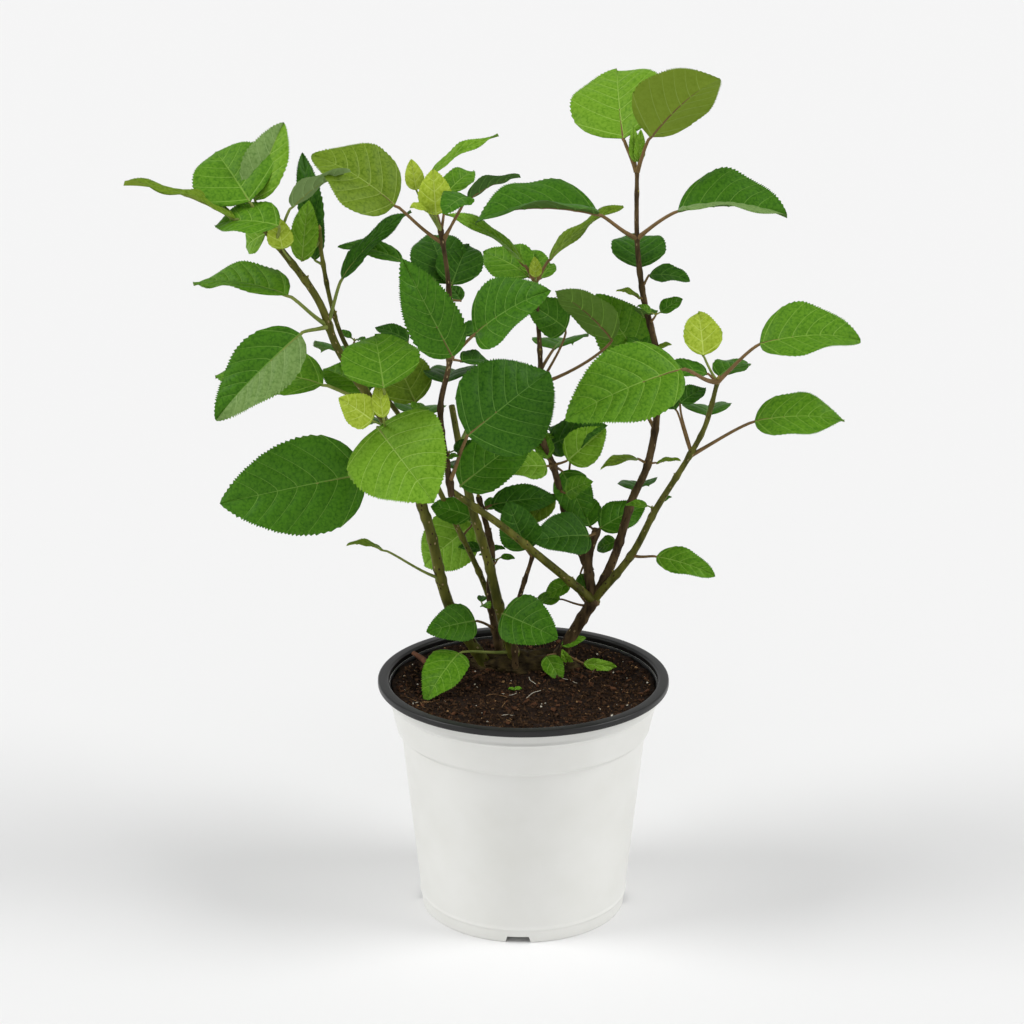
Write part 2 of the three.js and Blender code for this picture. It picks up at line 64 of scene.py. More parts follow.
def leaf(stalk, blade, wide, lean, tone="mature", side=0, fold=12, arch=0.07, half=0):
    """Stalk and blade are (turn, rise, length), and wide is the blade's width over its length.

    lean and side tip the blade's face, fold closes its halves, and arch bends it along. half is
    the side, 1 or -1, painted with a grey-green painted sheen, the light on a half that turns
    over; the blade is not bent for it.
    """
    return {
        "stalk": stalk, "blade": blade, "wide": wide, "lean": lean, "tone": tone,
        "side": side, "fold": fold, "arch": arch, "half": half,
    }


def masses(rows):
    return {name: node(stem, height, *leaves) for name, stem, height, *leaves in rows}


def small_leaves(rows):
    """Leaves with no solid of their own, each with its stem and height."""
    return [node(stem, height, leaf(*rest)) for stem, height, *rest in rows]


STEMS = {
    "trunk": limb(5.2, 4.2, "brown_bark", [(24, 50, 172), (40, 50, 202), (54, 48, 227)]),
    "left_stem": limb(4.6, 2.3, "green_bark", [
        (-28, 50, 172), (-56, 42, 223), (-73, 28, 299), (-99, 12, 373), (-135, 0, 438),
        (-148, -5, 475), (-184, -18, 530),
    ]),
    "olive_stem": limb(4.6, 2.2, "green_bark", [
        (-4, 46, 172), (-18, 42, 222), (-27, 34, 265), (-40, 22, 316), (-53, 12, 392),
    ]),
    "dark_stem": limb(3, 2, "brown_bark", [
        (-17, 58, 172), (-26, 56, 231), (-24, 54, 264), (-34, 50, 310),
    ]),
    "thin_stem": limb(2.4, 1.5, "green_bark", [
        (-15, 66, 172), (-28, 62, 229), (-55, 46, 297), (-90, 34, 374), (-132, 18, 440),
        (-146, 12, 505), (-147, 12, 523),
    ]),
    "black_stem": limb(2.4, 1.5, "brown_bark", [(-6, 36, 172), (-6, 32, 220), (7, 26, 271)]),
    "tall_stem": limb(3.6, 1.5, "brown_bark", [
        (54, 48, 227), (69, 50, 259), (83, 52, 307), (94, 54, 333), (101, 56, 375), (100, 58, 419),
        (89, 60, 465), (84, 60, 506), (83, 58, 558),
    ]),
    "side_stem": limb(3.2, 1.6, "green_bark", [
        (54, 48, 227), (82, 35, 268), (99, 20, 309), (122, 5, 355), (133, 0, 380), (141, -5, 416),
    ]),
    "cross_stem": limb(3.4, 2.4, "green_bark", [
        (54, 48, 227), (16, 20, 269), (-17, -5, 305), (-53, -26, 338),
    ]),
    "middle_stem": limb(2.4, 1.5, "brown_bark", [
        (-53, -26, 338), (-60, -28, 400), (-53, -28, 438), (-54, -24, 494), (-59, -22, 530),
    ]),
    "old_stub": limb(4, 3, "brown_bark", [(54, 48, 227), (50, 55, 258), (57, 58, 282)]),
    "back_stem": limb(3, 1.4, "brown_bark", [
        (50, 55, 252), (36, 64, 280), (23, 64, 330), (13, 66, 356), (13, 68, 405), (9, 70, 474),
    ]),
}

MASSES = masses([
    ("top_right_tip", "tall_stem", 556,
        leaf((150, 65, 27), (92, 30, 84), 0.88, 40, "light", side=-14),
        leaf((-43, 67, 30), (-32, 41, 73), 0.84, -45, "olive", fold=22),
    ),
    ("top_right_west", "tall_stem", 507, leaf((-161, 33, 37), (-167, 1, 92), 0.7, 8, fold=28)),
    ("top_right_east", "tall_stem", 507,
        leaf((-19, 36, 38), (-11, 1, 80), 0.8, 15, fold=30, half=1),
    ),
    ("top_right_behind", "tall_stem", 470,
        leaf((95, 36, 20), (88, 20, 52), 0.8, 0, "dark"),
        leaf((-20, 60, 12), (-20, -3, 31), 0.65, 30, "dark"),
    ),
    ("curled_pair", "tall_stem", 335,
        leaf((-153, 30, 11), (-135, 2, 40), 0.3, 20, "olive"),
        leaf((-35, 16, 8), (-27, 15, 20), 0.3, 20, "olive"),
    ),
    ("right_upper", "side_stem", 414,
        leaf((-10, 45, 42), (-8, 6, 72), 0.78, 28, "bright", fold=20),
    ),
    ("right_node", "side_stem", 414,
        leaf((150, 58, 22), (95, 45, 38), 0.75, 45, "young"),
        leaf((80, 5, 14), (55, 2, 42), 0.6, 10),
    ),
    ("right_inner", "side_stem", 414, leaf((-134, 23, 45), (-161, -18, 92), 0.66, 50, "bright")),
    ("right_lower", "side_stem", 355, leaf((-12, 32, 56), (-9, 4, 65), 0.66, 32, "bright")),
    ("right_low", "side_stem", 268, leaf((-39, 10, 24), (-20, -12, 47), 0.5, 40, "bright")),
    ("left_tip", "left_stem", 530,
        leaf((-150, 63, 22), (124, 30, 60), 1.02, 60, "bright"),
        leaf((148, 70, 20), (50, 60, 60), 0.54, 40, "light", fold=25, half=-1),
        leaf((-145, 21, 24), (174, 17, 82), 0.3, 0, "olive"),
    ),
    ("left_folded", "left_stem", 518,
        leaf((-80, 35, 31), (160, -2, 50), 0.8, 25, "bright"),
        # This leaf is painted whole in the grey-green painted sheen, not a leaf colour of its own.
        leaf((-40, 60, 33), (-8, 33, 50), 0.65, -20, "grey"),
        leaf((121, 14, 18), (135, -30, 27), 0.85, 55, "light"),
    ),
    ("left_inner", "thin_stem", 515,
        leaf((110, 6, 11), (116, 68, 62), 0.3, 70, "dark"),
        leaf((-152, -43, 20), (75, 68, 45), 0.45, 70, "light"),
    ),
    ("left_upper", "left_stem", 455,
        leaf((-151, 40, 41), (152, 0, 82), 0.5, 16, "bright", fold=20),
    ),
    ("left_lower", "left_stem", 455, leaf((-127, 1, 31), (-157, -41, 86), 0.53, 60, half=-1)),
    ("left_behind", "left_stem", 389, leaf((170, 24, 45), (164, 2, 86), 0.6, 25, "bright")),
    ("left_arched", "left_stem", 457, leaf((0, 72, 35), (32, 37, 72), 0.24, 20, "dark", arch=0.08)),
    ("middle_west", "middle_stem", 520, leaf((168, 37, 43), (175, 31, 68), 0.95, 32, "olive")),
    ("middle_tip", "middle_stem", 528,
        leaf((180, 60, 34), (180, 81, 22), 0.62, 80, "young"),
        leaf((-107, 53, 17), (106, 76, 32), 0.75, 80, "young"),
        leaf((113, 64, 42), (6, 30, 55), 0.24, 20, "light"),
        leaf((78, 48, 33), (57, 18, 34), 0.6, 40, "bright"),
    ),
    ("middle_east", "middle_stem", 520, leaf((6, 60, 36), (0, 24, 40), 0.7, -25, "dark")),
    ("middle_behind", "middle_stem", 487,
        leaf((92, -7, 44), (110, 33, 54), 0.8, 40, "dark"),
        leaf((88, -7, 36), (72, 30, 46), 0.75, 40, "dark"),
    ),
    ("middle_front", "middle_stem", 438, leaf((-81, 16, 18), (-156, 63, 82), 0.48, 80)),
    ("middle_right", "middle_stem", 438,
        leaf((-50, 38, 37), (-26, 33, 68), 0.74, 48, side=-10, fold=24),
    ),
    ("young_left", "left_stem", 378,
        leaf((-88, 37, 70), (101, 33, 54), 1.05, 45, "bright"),
        leaf((-97, 18, 58), (-167, 37, 30), 0.85, 60, "young"),
        leaf((-89, 20, 58), (119, 73, 26), 0.5, 70, "young"),
    ),
    ("centre_left_round", "left_stem", 372,
        leaf((-104, 20, 34), (-50, -32, 78), 0.98, 70, "light"),
    ),
    ("left_low", "left_stem", 320, leaf((-142, 28, 54), (-169, -9, 108), 0.67, 72)),
    ("centre_left_behind", "middle_stem", 384,
        leaf((118, 14, 44), (120, 40, 50), 0.8, 55, "olive"),
        leaf((140, 22, 30), (60, -10, 22), 0.6, 30, "bright"),
    ),
    ("centre_dark", "middle_stem", 345, leaf((-48, 62, 44), (30, 30, 78), 0.95, 68, "dark")),
    ("centre_low", "olive_stem", 330, leaf((-110, 5, 12), (16, 34, 70), 0.6, 60)),
    ("centre_small", "back_stem", 331,
        leaf((-115, 12, 12), (-151, 4, 42), 0.6, 50, "light"),
        leaf((-140, 50, 8), (114, 40, 26), 0.6, 45, "bright"),
        leaf((-37, 24, 15), (6, 40, 38), 0.78, 65, "light"),
        leaf((36, -36, 11), (-16, -62, 42), 0.7, 65),
    ),
    ("back_tip_west", "back_stem", 472,
        leaf((-136, 52, 19), (-159, 35, 76), 0.3, 20, "light"),
        leaf((107, 5, 15), (140, 15, 48), 0.8, 35, "bright"),
    ),
    ("back_tip_east", "back_stem", 472, leaf((26, 55, 20), (11, 35, 68), 0.28, 10, "olive")),
    ("centre_right_behind", "back_stem", 394,
        leaf((25, 62, 46), (-165, 36, 38), 0.8, 60),
        leaf((-12, 34, 66), (-173, 42, 58), 0.7, -40, "bright"),
    ),
    ("centre_right", "tall_stem", 384, leaf((122, 48, 38), (-172, 56, 60), 0.74, 80, "bright")),
    ("low_centre_west", "black_stem", 270, leaf((-140, 50, 9), (-150, 68, 44), 0.72, 80, "dark")),
    ("low_centre_east", "old_stub", 279,
        leaf((-114, 7, 14), (-148, 5, 52), 0.7, 50, "dark"),
        leaf((70, 5, 9), (26, 18, 42), 0.65, 45),
        leaf((117, 13, 10), (108, 29, 34), 0.8, 40),
    ),
    ("low_behind", "dark_stem", 270, leaf((112, 14, 34), (166, -42, 58), 0.8, 60, "light")),
    ("low_west", "dark_stem", 200, leaf((-125, 30, 30), (-142, 2, 46), 0.66, 60)),
    ("low_front", "olive_stem", 186, leaf((-155, 8, 46), (-118, -22, 56), 0.58, 35, "bright")),
    ("low_middle", "olive_stem", 209, leaf((-95, 46, 19), (-37, -9, 52), 0.78, 62)),
    ("low_far_west", "left_stem", 248, leaf((-139, 33, 67), (-139, 20, 34), 0.28, 20, "olive")),
    ("back_left", "left_stem", 350, leaf((100, 25, 34), (112, -14, 86), 0.7, -30)),
    ("back_middle", "olive_stem", 360, leaf((70, 30, 44), (62, -8, 88), 0.7, -30)),
    ("back_right", "tall_stem", 362, leaf((110, 20, 30), (120, -10, 85), 0.7, -30)),
])

SPRIGS = small_leaves([
    ("middle_stem", 529, (-127, 54, 17), (-133, 19, 22), 0.6, 30, "young"),
    ("middle_stem", 522, (-18, 60, 37), (-117, -9, 36), 0.6, 40),
    ("left_stem", 502, (-125, 50, 17), (-123, 76, 25), 0.75, 80, "young"),
    ("thin_stem", 497, (150, 21, 8), (80, 68, 41), 0.32, 60, "dark"),
    ("middle_stem", 470, (134, 31, 59), (168, 12, 49), 0.45, 20),
    ("middle_stem", 479, (25, -5, 9), (131, 35, 16), 0.7, 40, "dark"),
    ("middle_stem", 454, (69, -12, 29), (52, -8, 39), 0.6, 30, "dark"),
    ("middle_stem", 437, (73, -16, 28), (47, -12, 35), 0.6, 30, "dark"),
    ("left_stem", 393, (105, 13, 21), (140, 13, 48), 0.7, 30, "bright"),
    ("thin_stem", 420, (-7, 28, 42), (158, 16, 28), 0.6, 30, "dark"),
    ("back_stem", 355, (62, -40, 9), (31, 15, 10), 0.7, 40, "bright"),
    ("back_stem", 472, (-91, 40, 8), (-112, 82, 16), 0.6, 80, "young"),
    ("back_stem", 472, (84, 5, 15), (102, 26, 34), 0.7, 30, "bright"),
    ("back_stem", 472, (53, 18, 7), (65, 18, 23), 0.7, 30, "bright"),
    ("tall_stem", 384, (106, 58, 24), (148, 60, 40), 0.6, 60),
    ("side_stem", 358, (126, 58, 35), (118, 2, 23), 0.7, 30, "dark"),
    ("side_stem", 358, (150, 75, 38), (38, 17, 26), 0.7, 30, "dark"),
    ("tall_stem", 461, (-129, 25, 5), (-144, 22, 24), 0.35, 30, "olive"),
    ("tall_stem", 417, (180, 60, 5), (-40, 29, 18), 0.5, 30, "olive"),
    ("back_stem", 296, (79, 60, 60), (124, -1, 26), 0.8, 30, "dark"),
    ("back_stem", 349, (68, -28, 14), (-25, 26, 52), 0.55, 55, "dark"),
    ("dark_stem", 308, (74, -34, 25), (53, 10, 19), 0.7, 30),
    ("back_stem", 256, (180, -70, 11), (38, -68, 21), 0.7, 60),
    ("tall_stem", 274, (113, -17, 7), (146, -29, 20), 0.7, 50),
    ("back_stem", 310, (-70, 10, 12), (-30, 30, 26), 0.7, 50, "bright"),
    ("tall_stem", 556, (150, 80, 8), (120, 82, 26), 0.34, 80, "light"),
    ("tall_stem", 556, (-30, 80, 8), (60, 84, 24), 0.36, 80, "light"),
    ("side_stem", 414, (170, 40, 10), (172, 4, 36), 0.5, 30),
    ("dark_stem", 300, (10, 20, 8), (8, 4, 52), 0.5, 45, "dark"),
    ("back_stem", 305, (-170, 20, 8), (-150, -45, 30), 0.62, 50, "olive"),
    ("olive_stem", 296, (120, 20, 10), (165, 10, 32), 0.75, 45),
    ("trunk", 222, (165, 10, 24), (150, -8, 20), 0.66, 50, "bright"),
    ("trunk", 222, (150, 42, 24), (-165, -25, 22), 0.66, 50, "bright"),
    ("trunk", 183, (-138, 5, 16), (-55, -38, 25), 0.66, 48, "bright"),
    ("trunk", 183, (-13, -22, 19), (-2, -8, 28), 0.36, 50, "light"),
    ("trunk", 183, (-90, 63, 9), (13, 14, 20), 0.42, 50, "bright"),
    ("trunk", 183, (-45, -50, 13), (-145, 67, 18), 0.5, 60, "light"),
])

# Leaves on the side turned away from the front, which fill the crown out behind.
REAR = small_leaves([
    ("left_stem", 412, (95, 20, 30), (120, -5, 62), 0.7, -20),
    ("left_stem", 300, (110, 25, 28), (135, -12, 50), 0.7, -20, "dark"),
    ("thin_stem", 360, (75, 25, 26), (95, -10, 58), 0.7, -25),
    ("olive_stem", 318, (100, 30, 26), (110, -10, 60), 0.72, -25, "dark"),
    ("back_stem", 405, (60, 30, 24), (75, -8, 62), 0.7, -25),
    ("back_stem", 330, (110, 25, 20), (100, -12, 50), 0.7, -25, "dark"),
    ("middle_stem", 400, (85, 25, 30), (80, -5, 56), 0.7, -20, "dark"),
    ("tall_stem", 300, (80, 25, 22), (70, -10, 44), 0.7, -25, "dark"),
    ("side_stem", 372, (75, 20, 26), (85, -8, 54), 0.7, -20),
])

PLANNED = [*MASSES.values(), *SPRIGS, *REAR]


# ---- directions and curves ----


def direction(turn, rise):
    t, r = radians(turn), radians(rise)
    return np.array([cos(t) * cos(r), sin(t) * cos(r), sin(r)])


def unit(v):
    return v / np.linalg.norm(v)


def circle(count):
    return np.linspace(0, 2 * pi, count, endpoint=False)


def blade_axes(plan):
    """Along the midrib, across it, and out of the upper face."""
    along = direction(*plan["blade"][:2])
    lean, side = radians(plan["lean"]), radians(plan["side"])
    level = cos(side)
    face = np.array([sin(side), -sin(lean) * level, cos(lean) * level])
    face = unit(face - along * (face @ along))
    return along, np.cross(along, face), face


def smooth_curve(joints, per_span=40):
    """Points on the centripetal curve through the joints, as the solid limbs follow it."""
    ends = [2 * joints[0] - joints[1], *joints, 2 * joints[-1] - joints[-2]]
    share = np.linspace(0, 1, per_span, endpoint=False)[:, None]
    points = []
    for a, b, c, d in zip(ends, ends[1:], ends[2:], ends[3:]):
        ab, bc, cd = (sqrt(np.linalg.norm(q - p)) for p, q in ((a, b), (b, c), (c, d)))
        leave = ((b - a) / ab - (c - a) / (ab + bc) + (c - b) / bc) * bc
        arrive = ((c - b) / bc - (d - b) / (bc + cd) + (d - c) / cd) * bc
        square, cube = share**2, share**3
        points.append(
            b + leave * share + (3 * (c - b) - 2 * leave - arrive) * square
            + (2 * (b - c) + leave + arrive) * cube
        )
    return np.vstack([*points, joints[-1]])


def even_steps(points, step):
    """The same line with its points about one step apart, and how far along it each one is."""
    lengths = np.linalg.norm(np.diff(points, axis=0), axis=1)
    run = np.concatenate([[0], np.cumsum(lengths)])
    count = max(2, round(run[-1] / step) + 1)
    at = np.linspace(0, run[-1], count)
    return np.column_stack([np.interp(at, run, points[:, i]) for i in range(3)]), at


def bezier(a, b, c, d, count):
    t = np.linspace(0, 1, count)[:, None]
    return a * (1 - t) ** 3 + 3 * b * t * (1 - t) ** 2 + 3 * c * t**2 * (1 - t) + d * t**3


CURVES = {name: smooth_curve(stem["joints"]) for name, stem in STEMS.items()}


def stem_point(name, height):
    """Where a stem first passes a height."""
    curve = CURVES[name]
    above = np.nonzero(curve[:, 2] >= height)[0]
    i = above[0] if len(above) else len(curve) - 1
    if i == 0:
        return curve[0]
    low, high = curve[i - 1], curve[i]
    share = (height - low[2]) / (high[2] - low[2])
    return low + (high - low) * min(1, share)


def stem_radius(name, point):
    curve = CURVES[name]
    i = np.argmin(np.linalg.norm(curve - point, axis=1))
    foot, tip = STEMS[name]["radii"]
    return foot + (tip - foot) * i / (len(curve) - 1)


# ---- meshes: many small shapes heaped into one piece ----


class Heap:
    """Closed shapes that become one piece, each face with the name of its material."""

    def __init__(self):
        self.points, self.faces, self.names, self.count = [], [], [], 0

    def add(self, points, faces, names):
        self.points.append(points)
        self.faces.extend(tuple(i + self.count for i in face) for face in faces)
        self.names.extend(names if isinstance(names, list) else [names] * len(faces))
        self.count += len(points)


def ring_faces(rows, size):
    """Faces of a closed tube of rings: its sides row by row, then its two ends."""
    sides = []
    for r in range(rows - 1):
        low, high = r * size, (r + 1) * size
        for i in range(size):
            j = (i + 1) % size
            sides.append((low + i, low + j, high + j, high + i))
    foot = tuple(reversed(range(size)))
    tip = tuple(range((rows - 1) * size, rows * size))
    return sides, [foot, tip]


def carried_axes(path):
    """Two axes square to the path at each point, carried along it without twist."""
    ways = np.gradient(path, axis=0)
    ways /= np.linalg.norm(ways, axis=1)[:, None]
    start = np.cross(ways[0], (0.0, 0.0, 1.0) if abs(ways[0][2]) < 0.9 else (0.0, 1.0, 0.0))
    sides = [unit(start)]
    for way in ways[1:]:
        sides.append(unit(sides[-1] - way * (sides[-1] @ way)))
    sides = np.array(sides)
    return sides, np.cross(ways, sides)


def add_tube(heap, path, radii, sides, name, relief=None):
    """A closed tube; relief is each point's share of its radius, row by row."""
    u, v = carried_axes(path)
    turn = circle(sides)
    if relief is None:
        relief = np.ones((len(path), sides))
    reach = np.asarray(radii, float)[:, None] * relief
    ways = u[:, None] * np.cos(turn)[None, :, None] + v[:, None] * np.sin(turn)[None, :, None]
    points = (path[:, None] + ways * reach[..., None]).reshape(-1, 3)
    around, ends = ring_faces(len(path), sides)
    names = name if isinstance(name, list) else [name] * len(around)
    heap.add(points, around + ends, names + [names[0], names[-1]])


def add_object(name, data):
    thing = bpy.data.objects.new(name, data)
    bpy.context.scene.collection.objects.link(thing)
    return thing


def make_piece(name, heap, smooth_angle=50):
    mesh = bpy.data.meshes.new(name)
    mesh.from_pydata((np.vstack(heap.points) * MM).tolist(), [], heap.faces)
    used = sorted(set(heap.names))
    for material in used:
        mesh.materials.append(MATERIALS[material])
    mesh.polygons.foreach_set("material_index", [used.index(n) for n in heap.names])
    mesh.polygons.foreach_set("use_smooth", [True] * len(mesh.polygons))
    mesh.update()
    mesh.set_sharp_from_angle(angle=radians(smooth_angle))
    return add_object(name, mesh)


def settle(piece, slot, *nodes):
    """Every piece belongs to the one body, and stands for the nodes named."""
    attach(piece, "root")
    if nodes:
        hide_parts(*nodes)


# ---- materials ----


def colour(red, green, blue):
    """A colour as a screen shows it, from 0 to 255, turned into light."""
    return tuple(
        c / 12.92 if c <= 0.04045 else ((c + 0.055) / 1.055) ** 2.4
        for c in (red / 255, green / 255, blue / 255)
    ) + (1.0,)


def set_inputs(node, values):
    for socket, value in values.items():
        node.inputs[socket].default_value = value


def surface(
    name, low, high, scale, roughness,
    relief=0.0, depth=0.3, stretch=1.0, cells=0.0, specular=0.15,
):
    """A plain colour that wanders between two near tones, with fine relief.

    scale and cells are features per metre, depth is millimetres, and stretch draws the pattern
    out along Z. With cells, the net's depth also sets the colour: painted shade darkens its
    sunken lines and its raised cells are painted lighter.
    """
    material = bpy.data.materials.new(name)
    material.use_nodes = True
    nodes, link = material.node_tree.nodes, material.node_tree.links.new
    shader = nodes["Principled BSDF"]
    set_inputs(shader, {"Roughness": roughness, "Specular IOR Level": specular})
    place = nodes.new("ShaderNodeTexCoord")
    mapping = nodes.new("ShaderNodeMapping")
    set_inputs(mapping, {"Scale": (1, 1, 1 / stretch)})
    link(place.outputs["Object"], mapping.inputs["Vector"])
    grain = nodes.new("ShaderNodeTexNoise")
    set_inputs(grain, {"Scale": scale, "Detail": 5})
    link(mapping.outputs["Vector"], grain.inputs["Vector"])
    ramp = nodes.new("ShaderNodeValToRGB")
    for end, position, tone in zip(ramp.color_ramp.elements, (0.32, 0.68), (low, high)):
        end.position = position
        end.color = colour(*tone)
    link(grain.outputs["Fac"], ramp.inputs["Fac"])
    link(ramp.outputs["Color"], shader.inputs["Base Color"])
    if relief:
        height = grain.outputs["Fac"]
        # The net's depth also drives the colour: painted shade in its sunken lines, painted light
        # on its raised cells.
        if cells:
            net = nodes.new("ShaderNodeTexVoronoi")
            net.feature = "DISTANCE_TO_EDGE"
            set_inputs(net, {"Scale": cells})
            link(mapping.outputs["Vector"], net.inputs["Vector"])
            height = net.outputs["Distance"]
            net_painted_shade = nodes.new("ShaderNodeMath")
            net_painted_shade.operation = "MULTIPLY_ADD"
            net_painted_shade.inputs[1].default_value = 0.7
            link(height, net_painted_shade.inputs[0])
            link(grain.outputs["Fac"], net_painted_shade.inputs[2])
            link(net_painted_shade.outputs["Value"], ramp.inputs["Fac"])
        bump = nodes.new("ShaderNodeBump")
        set_inputs(bump, {"Strength": relief, "Distance": depth * MM})
        link(height, bump.inputs["Height"])
        link(bump.outputs["Normal"], shader.inputs["Normal"])
    return material


# For each tone of leaf: the blade's two near colours, its veins' colour and its underside's.
TONES = {
    "mature": ((44, 92, 8), (70, 120, 22), (100, 142, 52), (84, 116, 50)),
    "dark": ((32, 76, 8), (58, 104, 22), (86, 128, 48), (70, 102, 46)),
    "bright": ((62, 112, 10), (94, 142, 30), (122, 162, 60), (100, 134, 54)),
    "light": ((86, 134, 16), (118, 162, 42), (142, 178, 74), (112, 146, 58)),
    "olive": ((82, 112, 14), (112, 140, 36), (134, 158, 66), (126, 150, 50)),
    # The grey-green tone is painted sheen: the light on leaf halves that turn over, not a leaf
    # colour.
    "grey": ((92, 126, 58), (122, 152, 84), (138, 166, 100), (124, 150, 92)),
    "young": ((134, 160, 26), (168, 190, 62), (182, 202, 92), (150, 176, 66)),
}

# Every other finish: its two near colours, its grain's scale, its roughness, and its other values.
FINISHES = {
    "white_plastic": (
        (226, 226, 221), (230, 230, 226), 30, 0.42, dict(relief=0.05, depth=0.2, specular=0.5),
    ),
    "black_plastic": (
        (19, 19, 19), (27, 27, 26), 60, 0.38, dict(relief=0.08, depth=0.2, specular=0.4),
    ),
    "soil": ((20, 13, 9), (46, 31, 21), 260, 0.95, dict(relief=0.9, depth=1.6)),
    "crumb": ((22, 14, 9), (84, 61, 41), 300, 0.95, dict(relief=0.6, depth=0.6)),
    "brown_chip": ((60, 40, 26), (96, 62, 40), 220, 0.85, dict(relief=0.5)),
    "tan_chip": ((128, 96, 62), (166, 130, 90), 220, 0.85, dict(relief=0.5)),
    "pale_bit": ((206, 198, 178), (230, 224, 208), 200, 0.8, dict(relief=0.3)),
    "stick_bark": ((70, 44, 32), (116, 78, 56), 160, 0.8, dict(relief=0.6, depth=0.5)),
    "brown_bark": ((46, 34, 20), (96, 78, 50), 240, 0.78, dict(relief=0.7, depth=0.5, stretch=4)),
    "green_bark": ((66, 68, 20), (106, 106, 40), 160, 0.55, dict(relief=0.35, stretch=4)),
    "pale_bark": ((140, 120, 84), (166, 146, 108), 240, 0.8, dict(relief=0.4)),
    "dark_bark": ((44, 30, 20), (66, 46, 30), 240, 0.8, dict(relief=0.5)),
    # The crown's own dark bark, darkened further as painted shade for the deep shadow at the
    # crown's base.
    "crown_bark": ((34, 26, 14), (74, 62, 34), 180, 0.85, dict(relief=0.8, depth=0.9)),
    "green_stalk": ((112, 128, 58), (136, 146, 74), 120, 0.5, dict(relief=0.2)),
    "brown_stalk": ((104, 84, 50), (132, 104, 66), 120, 0.5, dict(relief=0.2)),
    "bud": ((120, 110, 52), (150, 136, 66), 200, 0.6, dict(relief=0.2)),
}


def make_materials():
    """Blades and undersides have a fine net of veinlets: painted shade in its sunken lines."""
    net = 360
    made = {}
    for tone, (low, high, vein, under) in TONES.items():
        vein_light, under_dark = (c + 10 for c in vein), (c - 8 for c in under)
        for part, *look, extra in (
            ("blade", low, high, 420, 0.5, dict(relief=0.55, depth=0.35, cells=net, specular=0.12)),
            ("vein", vein, vein_light, 200, 0.55, dict(specular=0.12)),
            ("under", under_dark, under, 300, 0.8, dict(relief=0.45, cells=net, specular=0.1)),
        ):
            made[f"{tone}_{part}"] = surface(f"{tone}_{part}", *look, **extra)
    for name, (*look, extra) in FINISHES.items():
        made[name] = surface(name, *look, **extra)
    return made


MATERIALS = make_materials()


# ---- leaves ----

MARGIN_SWEEP = 0.44
VEIN_SWEEP = 1.35
OUTLINE_FOOT = 0.5
OUTLINE_TIP = 0.85
OUTLINE_PEAK = 2.435
BLADE_THICKNESS = 0.35


def leaf_rows(veins, between):
    """The rows across a blade: (place on the midrib, side of its vein, out or in at the margin)."""
    feet = 0.035 + 0.7 * (np.arange(veins) / (veins - 1)) ** 0.95
    rows = [(0.0, 0, 0), (0.0006, 0, 0), (0.003, 0, 0), (0.008, 0, 0), (0.017, 0, -1)]
    for k, foot in enumerate(feet):
        rows += [(foot, -1, 1), (foot, 1, 1)]
        reach = (feet[k + 1] if k + 1 < veins else 1.0) - foot
        for j in range(1, between + 1):
            rows.append((foot + reach * j / (between + 1), 0, 1 if j % 2 == 0 else -1))
    rows.append((1.0, 0, 0))
    return np.array(rows)


def outline_at(s):
    return OUTLINE_PEAK * s**OUTLINE_FOOT * (1 - s) ** OUTLINE_TIP


def size_class(length):
    """How many veins a side, rows between two veins, and columns a half blade has."""
    if length > 62:
        return 6, 9, (0.13, 0.28, 0.44, 0.6, 0.76, 0.9, 1.0)
    if length > 38:
        return 5, 7, (0.15, 0.34, 0.54, 0.74, 0.9, 1.0)
    return 4, 5, (0.2, 0.5, 0.8, 1.0)


